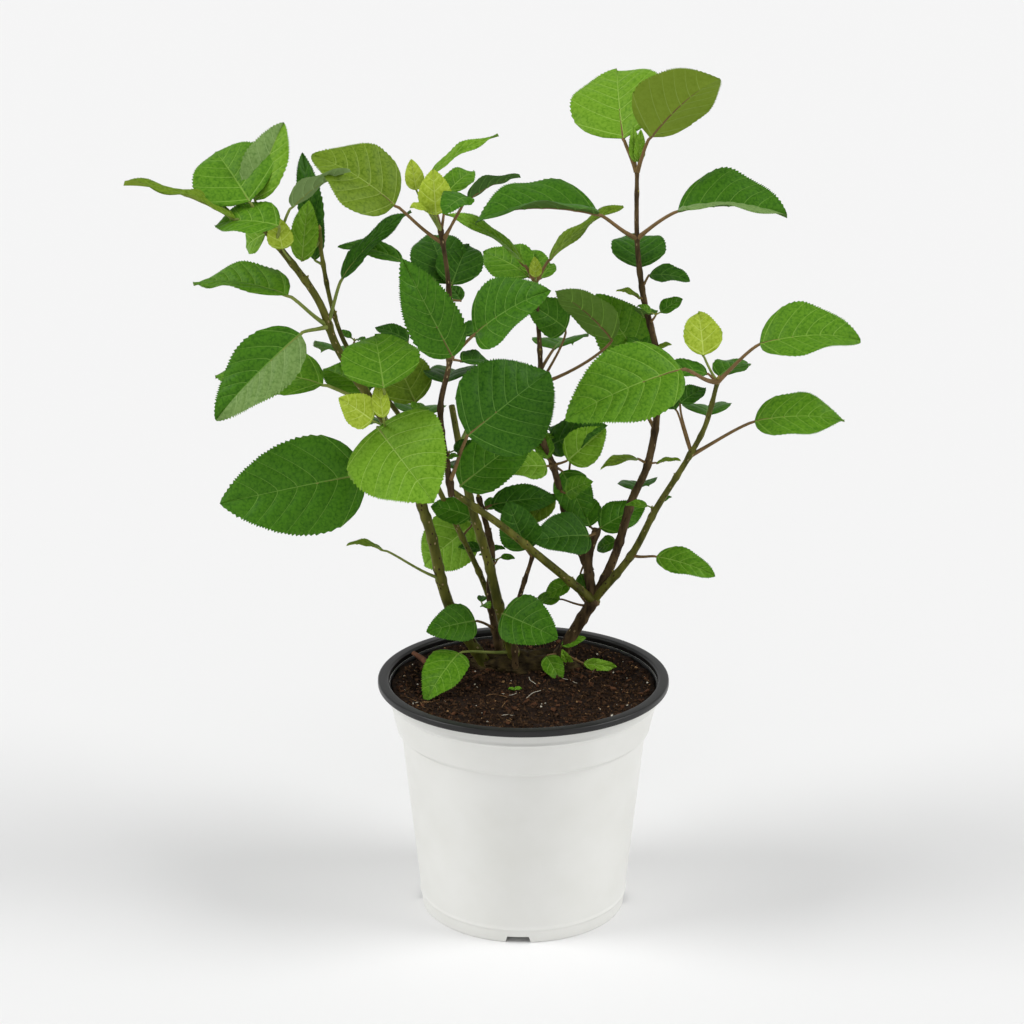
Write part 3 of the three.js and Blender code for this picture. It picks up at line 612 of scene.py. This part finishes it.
def add_blade(heap, base, plan):
    along, across, face = blade_axes(plan)
    length = plan["blade"][2]
    half = length * plan["wide"] / 2
    veins, between, columns = size_class(length)
    rows = leaf_rows(veins, between)
    place, edge, tooth = rows[:, 0], rows[:, 1], rows[:, 2]
    t = np.array([-c for c in reversed(columns)] + [-0.04, 0.04] + list(columns))
    out = np.abs(t)[None, :]
    sign = np.sign(t)[None, :]
    rib = 0.32 / length * edge[:, None] * (1 - 0.6 * out)
    u = np.clip(place[:, None] + rib, 0, 1)
    margin = u**MARGIN_SWEEP
    s = u + (margin - u) * out**VEIN_SWEEP
    width = np.maximum(outline_at(np.minimum(margin, 0.9999)) * half, 0.0)
    lopsided = 1 + sign * draw(-0.05, 0.05)
    rib_width = np.minimum(1.0, 0.6 * (1.05 - u) / np.maximum(0.04 * width, 1e-6))
    stretch = np.where(out < 0.1, rib_width, 1.0)
    x = sign * (out * stretch * width * lopsided + 0.6 * (1 - u) * (width < 1.2))
    jag = draw(0.6, 1.3, (len(rows), 1))
    bite = min(0.013 * length, 1.05) * jag * np.minimum(1, width / (0.35 * half))
    at_margin = np.where(out > 0.99, 1.0, np.where(out > 0.88, 0.3, 0.0))
    x = x + sign * bite * tooth[:, None] * at_margin * 0.55
    s = s + at_margin * (tooth[:, None] + 1) * bite / length * 0.45 * (s < 0.985)
    swell = np.sin(np.pi * np.clip(phase_between(place, edge, veins), 0, 1))[:, None]
    swell = swell * np.sin(np.pi * np.clip(out, 0, 1)) ** 0.8 * (1 - 0.4 * s)
    puff = 0.014 * length * draw(0.7, 1.3) * swell
    wave, slow = draw(0.02, 0.042) * length, draw(0, 2 * np.pi, 2)
    ripple = wave * np.sin(2 * np.pi * 1.7 * s + np.where(sign > 0, slow[0], slow[1])) * out**2
    fold = np.abs(x) * tan(radians(plan["fold"])) * (1.25 - 0.55 * out)
    tip_droop = draw(0.0, 0.35) * length * np.maximum(0, s - 0.62) ** 2
    groove = np.where(out < 0.1, -0.35, 0.0) - 0.15 * np.abs(edge[:, None]) * (1 - out)
    arch = length * plan["arch"] * 4 * s * (1 - s)
    z = fold + arch + puff + ripple * (s * 2).clip(0, 1) - tip_droop + groove
    twist = radians(draw(-9, 9)) * (s - 0.3)
    x, z = (
        x * np.cos(twist) - z * np.sin(twist) * 0.5,
        z * np.cos(twist) + x * np.sin(twist),
    )
    raised = np.where(out < 0.1, 0.55, 0.0) + 0.35 * np.abs(edge[:, None]) * (1 - 0.7 * out)
    under = z - (BLADE_THICKNESS + raised) * (1 - out**10)
    flat = base + s[..., None] * length * along + x[..., None] * across
    top = flat + z[..., None] * face
    low = flat + under[..., None] * face
    ring = np.concatenate([top, low[:, -2:0:-1]], axis=1)
    count, size = ring.shape[:2]
    sides, ends = ring_faces(count, size)
    tone = plan["tone"]
    middle = len(columns)
    # The half that turns over is painted in the grey-green painted sheen instead of the leaf's
    # tone.
    sheen_half = middle < np.arange(size) if plan["half"] > 0 else np.arange(size) < middle
    tones = np.where(sheen_half & (plan["half"] != 0), "grey", tone)
    names = []
    for r in range(count - 1):
        on_vein = edge[r] < 0 < edge[r + 1]
        for i in range(size):
            if i < len(t) - 1:
                names.append(f"{tones[i]}_vein" if on_vein or i == middle else f"{tones[i]}_blade")
            else:
                names.append(f"{tone}_vein" if on_vein else f"{tone}_under")
    heap.add(ring.reshape(-1, 3), sides + ends, names + [f"{tone}_under"] * 2)
    return top[:, middle], along, face


def phase_between(place, edge, veins):
    """How far each row lies between the vein before it and the vein after it, from 0 to 1."""
    marks = np.concatenate([[0.0], place[edge < 0], [1.0]])
    i = np.clip(np.searchsorted(marks, place, side="right") - 1, 0, veins)
    phase = (place - marks[i]) / (marks[i + 1] - marks[i])
    return np.where(edge != 0, 0, phase)


def add_stalk(heap, foot, base, midrib, along, face, name, radius):
    """The stalk bends from the stem into the blade, and runs on as the rib under it."""
    span = np.linalg.norm(base - foot)
    sag = draw(-0.06, 0.1) * span * np.array([0, 0, -1.0])
    way = unit(base - foot)
    leave = foot + way * span * 0.4 + sag
    arrive = base - (0.7 * way + 0.3 * along) * span * 0.3
    path = bezier(foot, leave, arrive, base, 12)
    reach = int(len(midrib) * 0.86)
    rib = midrib[2:reach:3] - face * (BLADE_THICKNESS + 0.35)
    path = np.vstack([path[:-1], rib])
    thin = np.linspace(radius * 0.75, radius * 0.16, len(rib))
    swell = radius * (1 + 0.45 * np.exp(-np.linspace(0, 6, 11)))
    add_tube(heap, path, np.concatenate([swell * np.linspace(1, 0.85, 11), thin]), 8, name)


def stalk_name(stem, tone):
    if tone == "young" or STEMS[stem]["bark"] == "green_bark" and stem != "side_stem":
        return "green_stalk"
    return "brown_stalk"


LEAF_GROUPS = {
    "leaves_left": ("left_stem", "thin_stem"),
    "leaves_middle": ("middle_stem", "olive_stem", "dark_stem", "black_stem"),
    "leaves_right": ("tall_stem", "side_stem"),
    "leaves_centre": ("back_stem", "old_stub", "trunk", "cross_stem"),
}


def group_of(stem):
    return next(group for group, stems in LEAF_GROUPS.items() if stem in stems)


def grow_leaf(blades, stalks, stem, height, plan):
    point = stem_point(stem, height)
    way = direction(*plan["stalk"][:2])
    foot = point + way * stem_radius(stem, point) * 0.6
    base = point + way * plan["stalk"][2]
    group = "young_leaves" if plan["tone"] == "young" else group_of(stem)
    midrib, along, face = add_blade(blades[group], base, plan)
    radius = min(1.5, 0.7 + 0.009 * plan["blade"][2])
    add_stalk(stalks, foot, base, midrib, along, face, stalk_name(stem, plan["tone"]), radius)


# ---- side shoots and buds: what the stems bear between the planned leaves ----

NODE_SPACING = (22, 40)
NODE_CLEARANCE = 9
LOWEST_SHOOT = 215
SHOOT_CHANCE = 0.3
PAIRED_SHOOT_CHANCE = 0.35


def leafy_heights(stem):
    return [plan["height"] for plan in PLANNED if plan["stem"] == stem]


def bare_nodes(stem):
    """Heights of the old nodes between a stem's leaves, spaced by a seeded rule."""
    joints = STEMS[stem]["joints"]
    low, high = joints[0][2] + 14, joints[-1][2] - 8
    taken = leafy_heights(stem)
    heights = []
    z = low + draw(0, 10)
    while z < high:
        if all(abs(z - h) > NODE_CLEARANCE for h in taken):
            heights.append(z)
        z += draw(*NODE_SPACING)
    return heights


def add_bud(heap, point, way, size):
    path = point + way * np.linspace(0, size * 2.6, 6)[:, None]
    add_tube(heap, path, size * np.array([0.55, 0.95, 1.0, 0.8, 0.45, 0.08]), 7, "bud")


def grow_shoot(blades, stalks, twigs, stem, height, turn):
    """A short twig that ends in a pair of small leaves and a bud."""
    point = stem_point(stem, height)
    radius = stem_radius(stem, point)
    way = direction(turn, draw(30, 55))
    length = draw(5, 13)
    foot = point + way * radius * 0.6
    tip = foot + way * length
    bend = direction(turn + draw(-30, 30), draw(50, 75))
    path = bezier(foot, foot + way * length * 0.5, tip - bend * length * 0.2, tip, 7)
    add_tube(twigs, path, np.linspace(1.0, 0.65, 7), 8, "brown_stalk")
    add_bud(twigs, tip, bend, 0.75)
    spread = turn + draw(60, 120)
    for k in range(2):
        out_turn = spread + 180 * k
        size = draw(9, 20)
        plan = leaf(
            (out_turn, 25, 4), (out_turn + draw(-20, 20), draw(-15, 35), size),
            draw(0.5, 0.7), draw(10, 45), rng.choice(["mature", "bright", "dark"]),
        )
        base = tip + direction(*plan["stalk"][:2]) * plan["stalk"][2]
        midrib, along, face = add_blade(blades[group_of(stem)], base, plan)
        add_stalk(stalks, tip, base, midrib, along, face, "green_stalk", 0.6)


# ---- stems ----

BARK_STEP = 1.7


def bark_relief(path, run, sides, radius, rough, seed, knots):
    """Each point's share of the radius: long ridges and splits, and a swelling at each node."""
    turn = circle(sides)
    relief = np.ones((len(path), sides))
    for r, distance in enumerate(run):
        for i, angle in enumerate(turn):
            c, s = cos(angle), sin(angle)
            ridge = noise.noise(Vector((c * 2.6, s * 2.6, distance * 0.055 + seed)))
            fine = noise.noise(Vector((c * 5.5, s * 5.5, distance * 0.3 + seed)))
            split = max(0, 0.35 - abs(ridge) * 3) ** 2
            relief[r, i] += rough * (0.7 * ridge + 0.45 * fine - 0.9 * split)
    for knot in knots:
        near = np.exp(-(((run - knot) / 2.6) ** 2)) * 0.26
        scar = np.exp(-(((run - knot + 2.4) / 0.8) ** 2)) * 0.1
        relief += (near + scar)[:, None] * min(1.0, 2.6 / radius)
    return relief


def bark_names(base, rows, sides):
    """Bark with pale pores and dark specks on single faces."""
    names = np.full(rows * sides, base, dtype=object)
    speck = rng.random(rows * sides)
    names[speck < 0.012] = "pale_bark"
    names[speck > 0.975] = "dark_bark"
    return list(names)


def make_stem(name, knots, seed):
    stem = STEMS[name]
    path, run = even_steps(CURVES[name], BARK_STEP)
    foot, tip = stem["radii"]
    radii = foot + (tip - foot) * run / run[-1]
    flare = np.exp(-run / 7) * (0.35 if path[0][2] < 175 else 0.12)
    sides = 22 if foot > 2.5 else 16
    rough = 0.17 if stem["bark"] == "brown_bark" else 0.07
    distances = [run[np.argmin(abs(path[:, 2] - z))] for z in knots]
    relief = bark_relief(path, run, sides, foot, rough, seed, distances)
    below = path[0] - unit(path[1] - path[0]) * 4
    path = np.vstack([below, path])
    relief = np.vstack([relief[:1], relief])
    radii = np.concatenate([radii[:1] * (1 + flare[0]), radii * (1 + flare)])
    heap = Heap()
    add_tube(heap, path, radii, sides, bark_names(stem["bark"], len(path) - 1, sides), relief)
    settle(make_piece(f"{name}_bark", heap), stem["bark"], name)


# ---- pot, compost and crown ----

POT_HEIGHT = 184
RIM_RADIUS = 110
RIM_WIDTH = 7.5
RIM_DEPTH = 5
COLLAR_TOP = 102.5
COLLAR_FOOT = 96
COLLAR_DEPTH = 39
WALL_TOP = 93
WALL_FOOT = 78
POT_WALL = 1.8
FLOOR_UNDERSIDE = 6
FLOOR_TOP = 8
BOSS_RADIUS = 9
RIDGE_HEIGHT = 11
NOTCH_WIDTH = 20
NOTCH_HEIGHT = 5
NOTCH_TURN = -3
DRAIN_RADIUS = 5
DRAIN_CIRCLE = 58
DRAINS = 6
SOIL_LEVEL = 172
CROWN_CENTRE = np.array([2.0, 50.0, SOIL_LEVEL])
CROWN_RADII = np.array([40.0, 17.0, 13.0])
POT_SEGMENTS = 224


def wall_radius(z):
    return WALL_FOOT + (WALL_TOP - WALL_FOOT) * z / (POT_HEIGHT - COLLAR_DEPTH)


def add_turned(heap, profile, names, segments=POT_SEGMENTS):
    """A profile turned round the Z axis: it starts and ends on the axis, or closes on itself."""
    turn = circle(segments)
    on_axis = profile[0][0] == 0
    rings = profile[1:-1] if on_axis else profile
    r, z = np.array(rings, float).T
    points = np.stack([
        r[:, None] * np.cos(turn), r[:, None] * np.sin(turn), np.repeat(z[:, None], segments, 1)
    ], axis=2).reshape(-1, 3)
    faces, made = [], []
    last = len(rings) - 1
    for k in range(len(rings) if not on_axis else last):
        low, high = k * segments, (k + 1) % len(rings) * segments
        for i in range(segments):
            j = (i + 1) % segments
            faces.append((low + i, low + j, high + j, high + i))
            made.append(names[k + 1] if on_axis else names[k])
    if on_axis:
        points = np.vstack([points, (0, 0, profile[0][1]), (0, 0, profile[-1][1])])
        foot, tip = len(points) - 2, len(points) - 1
        for i in range(segments):
            j = (i + 1) % segments
            faces += [(foot, j, i), (last * segments + i, last * segments + j, tip)]
            made += [names[0], names[-1]]
    heap.add(points, faces, made)


def rounded(points, radius, steps=4):
    """The profile with each inner corner turned into a small arc."""
    rounds = [points[0]]
    for a, b, c in zip(points, points[1:], points[2:]):
        a, b, c = (np.array(p, float) for p in (a, b, c))
        cut = min(radius, np.linalg.norm(b - a) * 0.45, np.linalg.norm(c - b) * 0.45)
        start, end = b + unit(a - b) * cut, b + unit(c - b) * cut
        for t in np.linspace(0, 1, steps):
            rounds.append(tuple(start * (1 - t) ** 2 + b * 2 * t * (1 - t) + end * t**2))
    return [*rounds, points[-1]]


def pot_profile():
    shell_top = POT_HEIGHT - RIM_DEPTH - 0.1
    collar_foot = POT_HEIGHT - COLLAR_DEPTH
    step = collar_foot - 3
    bead = shell_top - 10
    outer = [
        (0, 0), (BOSS_RADIUS, 0), (BOSS_RADIUS + 1, FLOOR_UNDERSIDE),
        (WALL_FOOT - POT_WALL - 1, FLOOR_UNDERSIDE), (WALL_FOOT - POT_WALL - 1, 0), (WALL_FOOT, 0),
        (wall_radius(RIDGE_HEIGHT - 1.6), RIDGE_HEIGHT - 1.6),
        (wall_radius(RIDGE_HEIGHT) + 0.9, RIDGE_HEIGHT),
        (wall_radius(RIDGE_HEIGHT + 2.2), RIDGE_HEIGHT + 2.2),
        (wall_radius(step), step), (COLLAR_FOOT, collar_foot),
        (COLLAR_TOP - 1.5, bead - 1.5), (COLLAR_TOP + 0.2, bead),
        (COLLAR_TOP - 0.9, bead + 2), (COLLAR_TOP, shell_top),
    ]
    inner = [
        (COLLAR_TOP, shell_top), (COLLAR_TOP - POT_WALL, shell_top),
        (COLLAR_FOOT - POT_WALL, collar_foot + 1), (wall_radius(step) - POT_WALL, step),
        (wall_radius(FLOOR_TOP) - POT_WALL, FLOOR_TOP), (0, FLOOR_TOP),
    ]
    outer, inner = rounded(outer, 0.9), rounded(inner, 0.7)
    names = ["white_plastic"] * len(outer) + ["black_plastic"] * len(inner)
    return outer + inner[1:], names


def pot_cutters():
    """The four notches in the foot and the drain holes in the floor, as one cutting shape."""
    heap = Heap()
    for i in range(4):
        turn = radians(NOTCH_TURN + 90 * i - 90)
        out = np.array([cos(turn), sin(turn), 0])
        across = np.array([-sin(turn), cos(turn), 0])
        corners = [
            out * reach + across * w * side + np.array([0, 0, z])
            for reach in (WALL_FOOT - 7, WALL_FOOT + 5)
            for side, w, z in (
                (-1, NOTCH_WIDTH / 2, -1), (1, NOTCH_WIDTH / 2, -1),
                (1, NOTCH_WIDTH * 0.4, NOTCH_HEIGHT), (-1, NOTCH_WIDTH * 0.4, NOTCH_HEIGHT),
            )
        ]
        faces = [(0, 1, 2, 3), (7, 6, 5, 4), (0, 4, 5, 1), (1, 5, 6, 2), (2, 6, 7, 3), (3, 7, 4, 0)]
        heap.add(np.array(corners), [tuple(reversed(f)) for f in faces], "white_plastic")
    for i in range(DRAINS):
        turn = radians((i + 0.5) * 360 / DRAINS - 90)
        centre = np.array([cos(turn), sin(turn), 0]) * DRAIN_CIRCLE
        path = centre + np.array([[0, 0, 3.0], [0, 0, 11.0]])
        add_tube(heap, path, [DRAIN_RADIUS] * 2, 28, "white_plastic")
    return make_piece("pot_cutters", heap)


def make_pot():
    heap = Heap()
    profile, names = pot_profile()
    add_turned(heap, profile, names)
    pot = make_piece("pot_shell", heap, 35)
    cutters = pot_cutters()
    cut = pot.modifiers.new("cut", "BOOLEAN")
    cut.operation = "DIFFERENCE"
    cut.object = cutters
    cut.solver = "EXACT"
    bpy.context.view_layer.update()
    result = pot.evaluated_get(bpy.context.evaluated_depsgraph_get())
    cut_mesh = bpy.data.meshes.new_from_object(result)
    pot.modifiers.clear()
    pot.data = cut_mesh
    bpy.data.objects.remove(cutters)
    pot.data.set_sharp_from_angle(angle=radians(35))
    settle(pot, "white_plastic", "pot")


def make_lip():
    inner, low = RIM_RADIUS - RIM_WIDTH, POT_HEIGHT - RIM_DEPTH
    profile = rounded([
        (inner - 1, low + 1), (inner - 1, low), (RIM_RADIUS, low), (RIM_RADIUS, POT_HEIGHT),
        (inner + 0.2, POT_HEIGHT), (inner - 1, POT_HEIGHT - 1.4), (inner - 1, low + 2),
    ], 1.5, 5)
    heap = Heap()
    add_turned(heap, profile, ["black_plastic"] * len(profile))
    settle(make_piece("pot_lip", heap), "black_plastic", "pot_rim")


def soil_height(x, y):
    """The compost is mounded round the crown, lumpy, and banked up against the wall."""
    mound = 3.5 * exp(-(((x - CROWN_CENTRE[0]) / 52) ** 2) - ((y - CROWN_CENTRE[1]) / 28) ** 2)
    rolling = 1.5 * noise.noise(Vector((x / 24, y / 24, 3.1)))
    lumps = 1.5 * noise.noise(Vector((x / 6.5, y / 6.5, 8.3)))
    lumps += 0.9 * noise.noise(Vector((x / 2.6, y / 2.6, 1.7)))
    share = min(max((hypot(x, y) - 76) / 20, 0), 1)
    bank = 6.5 * share * share * (3 - 2 * share)
    return SOIL_LEVEL - 1.4 + mound + rolling + lumps + bank


def make_compost():
    collar_foot = POT_HEIGHT - COLLAR_DEPTH + 1
    slope = (COLLAR_TOP - COLLAR_FOOT) / 30
    inset = POT_WALL + 0.4
    surface_radius = COLLAR_FOOT + slope * (SOIL_LEVEL - collar_foot) - inset
    wall = [
        (0, FLOOR_TOP + 0.3), (wall_radius(FLOOR_TOP) - inset, FLOOR_TOP + 0.3),
        (wall_radius(collar_foot - 4) - inset, collar_foot - 4),
        (COLLAR_FOOT - inset - 0.2, collar_foot), (surface_radius, SOIL_LEVEL - 3),
    ]
    top = [(r, SOIL_LEVEL) for r in np.linspace(surface_radius, 0, 64)]
    heap = Heap()
    add_turned(heap, wall + top, ["soil"] * (len(wall) + len(top)), 230)
    points = heap.points[0]
    for i in np.nonzero(points[:, 2] > SOIL_LEVEL - 1)[0]:
        points[i][2] = soil_height(points[i][0], points[i][1])
    settle(make_piece("compost_bed", heap, 80), "compost", "compost")


STREWN_RADIUS = 96
# A crumb is an octahedron and a chip is a box, before they are bent.
CRUMB_CORNERS = np.vstack([way * axis for axis in np.eye(3) for way in (1, -1)])
CRUMB_FACES = [
    (0, 2, 4), (2, 1, 4), (1, 3, 4), (3, 0, 4), (2, 0, 5), (1, 2, 5), (3, 1, 5), (0, 3, 5),
]
CHIP_CORNERS = np.array([
    (x, y, z) for z in (-1, 1) for x, y in ((-1, -1), (1, -1), (1, 1), (-1, 1))
], float)
CHIP_FACES = [(3, 2, 1, 0), (4, 5, 6, 7), (0, 1, 5, 4), (1, 2, 6, 5), (2, 3, 7, 6), (3, 0, 4, 7)]


def random_turn():
    q, _ = np.linalg.qr(rng.normal(size=(3, 3)))
    return q * np.sign(np.linalg.det(q))


def scatter_bits(heap, count, corners, faces, sizes, flat, name, lift):
    """Small bits strewn on the compost, each one turned and bent out of shape."""
    for _ in range(count):
        radius, turn = STREWN_RADIUS * sqrt(rng.random()), draw(0, 2 * pi)
        x, y = radius * cos(turn), radius * sin(turn)
        size = draw(*sizes) / 2
        bent = corners * draw(0.75, 1.25, corners.shape) * size
        shape = bent * np.array([1, draw(0.4, 0.9), flat])
        tilt = random_turn() if flat > 0.5 else random_turn() * 0.35 + turned_flat() * 0.65
        place = np.array([x, y, soil_height(x, y) + lift * size])
        heap.add(shape @ tilt.T + place, faces, name)


def turned_flat():
    a = draw(0, 2 * pi)
    return np.array([(cos(a), -sin(a), 0), (sin(a), cos(a), 0), (0, 0, 1)])


def make_bits():
    crumbs, chips, pale = Heap(), Heap(), Heap()
    scatter_bits(crumbs, 5200, CRUMB_CORNERS, CRUMB_FACES, (1.0, 3.6), 0.8, "crumb", 0.3)
    scatter_bits(chips, 300, CHIP_CORNERS, CHIP_FACES, (1.6, 5.0), 0.3, "brown_chip", 0.35)
    scatter_bits(chips, 130, CHIP_CORNERS, CHIP_FACES, (1.0, 2.8), 0.3, "tan_chip", 0.4)
    scatter_bits(pale, 70, CRUMB_CORNERS, CRUMB_FACES, (1.0, 2.6), 0.8, "pale_bit", 0.5)
    for _ in range(18):
        add_fibre(pale if rng.random() < 0.4 else chips)
    settle(make_piece("compost_crumbs", crumbs, 20), "compost")
    settle(make_piece("bark_chips", chips, 20), "compost")
    settle(make_piece("pale_bits", pale, 20), "compost")


def add_fibre(heap):
    """A short dry strand that lies over the compost."""
    radius = 88 * sqrt(rng.random())
    turn, way = draw(0, 2 * pi, 2)
    length = draw(7, 20)
    share = np.linspace(-0.5, 0.5, 7)
    bow = 2 * draw(-0.35, 0.35) * share**2
    x = radius * cos(turn) + length * (share * cos(way) - bow * sin(way))
    y = radius * sin(turn) + length * (share * sin(way) + bow * cos(way))
    z = [soil_height(a, b) + 0.8 for a, b in zip(x, y)]
    name = "pale_bit" if rng.random() < 0.5 else "tan_chip"
    add_tube(heap, np.column_stack([x, y, z]), [0.2] * 7, 5, name)


def make_stick():
    """The piece of bark that leans on the compost at the back left."""
    high, low = np.array([(-85, 50, 183), (-64, 20, 176.5)], float)
    count, sides = 30, 14
    path = high + (low - high) * np.linspace(0, 1, count)[:, None]
    path[:, 2] += 1.2 * np.sin(np.linspace(0, 3.1, count))
    relief = bark_relief(path, np.linspace(0, 53, count), sides, 3, 0.3, 40, [])
    radii = 2.4 * (1 - 0.25 * np.linspace(-1, 1, count) ** 2)
    heap = Heap()
    add_tube(heap, path, radii, sides, "stick_bark", relief)
    settle(make_piece("bark_stick", heap), "brown_bark")


def make_crown():
    """The low woody crown that all the stems rise from; its bark carries painted shade too."""
    rows, columns = 40, 96
    lift = np.linspace(-0.25, pi / 2 - 0.02, rows)
    turn = circle(columns)
    ball = np.stack([
        np.cos(lift)[:, None] * np.cos(turn), np.cos(lift)[:, None] * np.sin(turn),
        np.repeat(np.sin(lift)[:, None], columns, 1),
    ], axis=2).reshape(-1, 3)
    for i, p in enumerate(ball):
        knobs = 0.2 * noise.noise(Vector(p * (3.1, 2.2, 2.0)))
        knobs += 0.08 * noise.noise(Vector(p * 9)) + 0.04 * noise.noise(Vector(p * 24))
        ball[i] = p * (1 + knobs)
    heap = Heap()
    sides, ends = ring_faces(rows, columns)
    heap.add(CROWN_CENTRE + ball * CROWN_RADII, sides + ends, "crown_bark")
    settle(make_piece("crown_wood", heap), "brown_bark", "crown")


# ---- the plant ----


def grow_plant():
    blades = {group: Heap() for group in [*LEAF_GROUPS, "young_leaves"]}
    stalks, twigs = Heap(), Heap()
    for plan in PLANNED:
        for one in plan["leaves"]:
            grow_leaf(blades, stalks, plan["stem"], plan["height"], one)
    seedling = np.array([-7.0, 2.0, soil_height(-7, 2) + 1.5])
    for turn, length in ((180, 4.5), (0, 6.0)):
        plan = leaf(None, (turn, 8, length), 0.85, 10, "bright")
        add_blade(blades["leaves_middle"], seedling, plan)
    for number, name in enumerate(STEMS):
        bare = bare_nodes(name)
        make_stem(name, bare + sorted(set(leafy_heights(name))), 7.3 * number)
        grow_side_growth(blades, stalks, twigs, name, bare)
    add_tip_buds(twigs)
    for group, heap in blades.items():
        slot = "young_leaf" if group == "young_leaves" else "leaf"
        settle(make_piece(group, heap), slot, *masses_of(group))
    settle(make_piece("leaf_stalks", stalks), "green_bark")
    settle(make_piece("side_twigs", twigs), "brown_bark")


def grow_side_growth(blades, stalks, twigs, stem, heights):
    turn = draw(0, 360)
    for height in heights:
        point = stem_point(stem, height)
        radius = stem_radius(stem, point)
        shoots = height > LOWEST_SHOOT and rng.random() < SHOOT_CHANCE
        for k in range(2):
            way_turn = turn + 180 * k
            if shoots and (k == 0 or rng.random() < PAIRED_SHOOT_CHANCE):
                grow_shoot(blades, stalks, twigs, stem, height, way_turn)
            else:
                way = direction(way_turn, 50)
                add_bud(twigs, point + way * radius * 0.75, way, draw(0.7, 1.1))
        turn += 90 + draw(-15, 15)


def add_tip_buds(twigs):
    for name in ("tall", "thin", "side", "left", "back", "middle", "dark"):
        curve = CURVES[f"{name}_stem"]
        way = unit(curve[-1] - curve[-8])
        add_bud(twigs, curve[-1] - way * 0.5, way, 1.5)


def masses_of(group):
    """The masses that a piece of leaves stands for."""
    if group == "young_leaves":
        return [name for name, plan in MASSES.items() if plan["leaves"][0]["tone"] == "young"]
    stems = LEAF_GROUPS[group]
    return [
        name for name, plan in MASSES.items()
        if plan["stem"] in stems and plan["leaves"][0]["tone"] != "young"
    ]


# ---- floor, light and camera, in metres ----

FLOOR_REACH = 30
CAMERA_PLACE = (-0.0086, -1.7, 0.849)
CAMERA_DROP = 17.48
CAMERA_LENS = 84.6


def make_floor():
    floor_material = bpy.data.materials.new("floor")
    floor_material.use_nodes = True
    set_inputs(floor_material.node_tree.nodes["Principled BSDF"], {
        "Base Color": (0.86, 0.86, 0.86, 1), "Roughness": 0.9, "Specular IOR Level": 0.0,
    })
    mesh = bpy.data.meshes.new("floor")
    signs = ((-1, -1), (1, -1), (1, 1), (-1, 1))
    mesh.from_pydata([(x * FLOOR_REACH, y * FLOOR_REACH, 0) for x, y in signs], [], [(0, 1, 2, 3)])
    mesh.materials.append(floor_material)
    add_object("floor", mesh)


def add_sun(name, turn, rise, strength, softness):
    """A broad soft light from one side: every part of the floor gets as much of it."""
    light = bpy.data.lights.new(name, "SUN")
    light.angle = radians(softness)
    light.energy = strength
    holder = add_object(name, light)
    holder.rotation_euler = Vector(direction(turn, rise)).to_track_quat("Z", "Y").to_euler()


def light_scene():
    world = bpy.data.worlds.new("studio")
    bpy.context.scene.world = world
    world.use_nodes = True
    nodes, link = world.node_tree.nodes, world.node_tree.links.new
    set_inputs(nodes["Background"], {"Color": (1, 1, 1, 1)})
    # The studio's walls are as pale as its floor, and its ceiling is dimmer.
    way = nodes.new("ShaderNodeTexCoord")
    split = nodes.new("ShaderNodeSeparateXYZ")
    fade = nodes.new("ShaderNodeMapRange")
    set_inputs(fade, {"From Min": 0.16, "From Max": 0.34, "To Min": 0.93, "To Max": 0.4})
    link(way.outputs["Generated"], split.inputs["Vector"])
    link(split.outputs["Z"], fade.inputs["Value"])
    link(fade.outputs["Result"], nodes["Background"].inputs["Strength"])
    add_sun("left_light", -172, 40, 1.4, 30)
    add_sun("right_light", -8, 40, 1.4, 30)
    add_sun("top_light", -80, 66, 0.2, 30)


def place_camera():
    camera = bpy.data.cameras.new("camera")
    camera.sensor_width = 36
    camera.lens = CAMERA_LENS
    holder = add_object("camera", camera)
    holder.location = CAMERA_PLACE
    holder.rotation_euler = (radians(90 - CAMERA_DROP), 0, 0)
    bpy.context.scene.camera = holder
    bpy.context.scene.view_settings.view_transform = "Standard"


place_camera()
light_scene()
make_floor()
make_pot()
make_lip()
make_compost()
make_bits()
make_stick()
make_crown()
grow_plant()
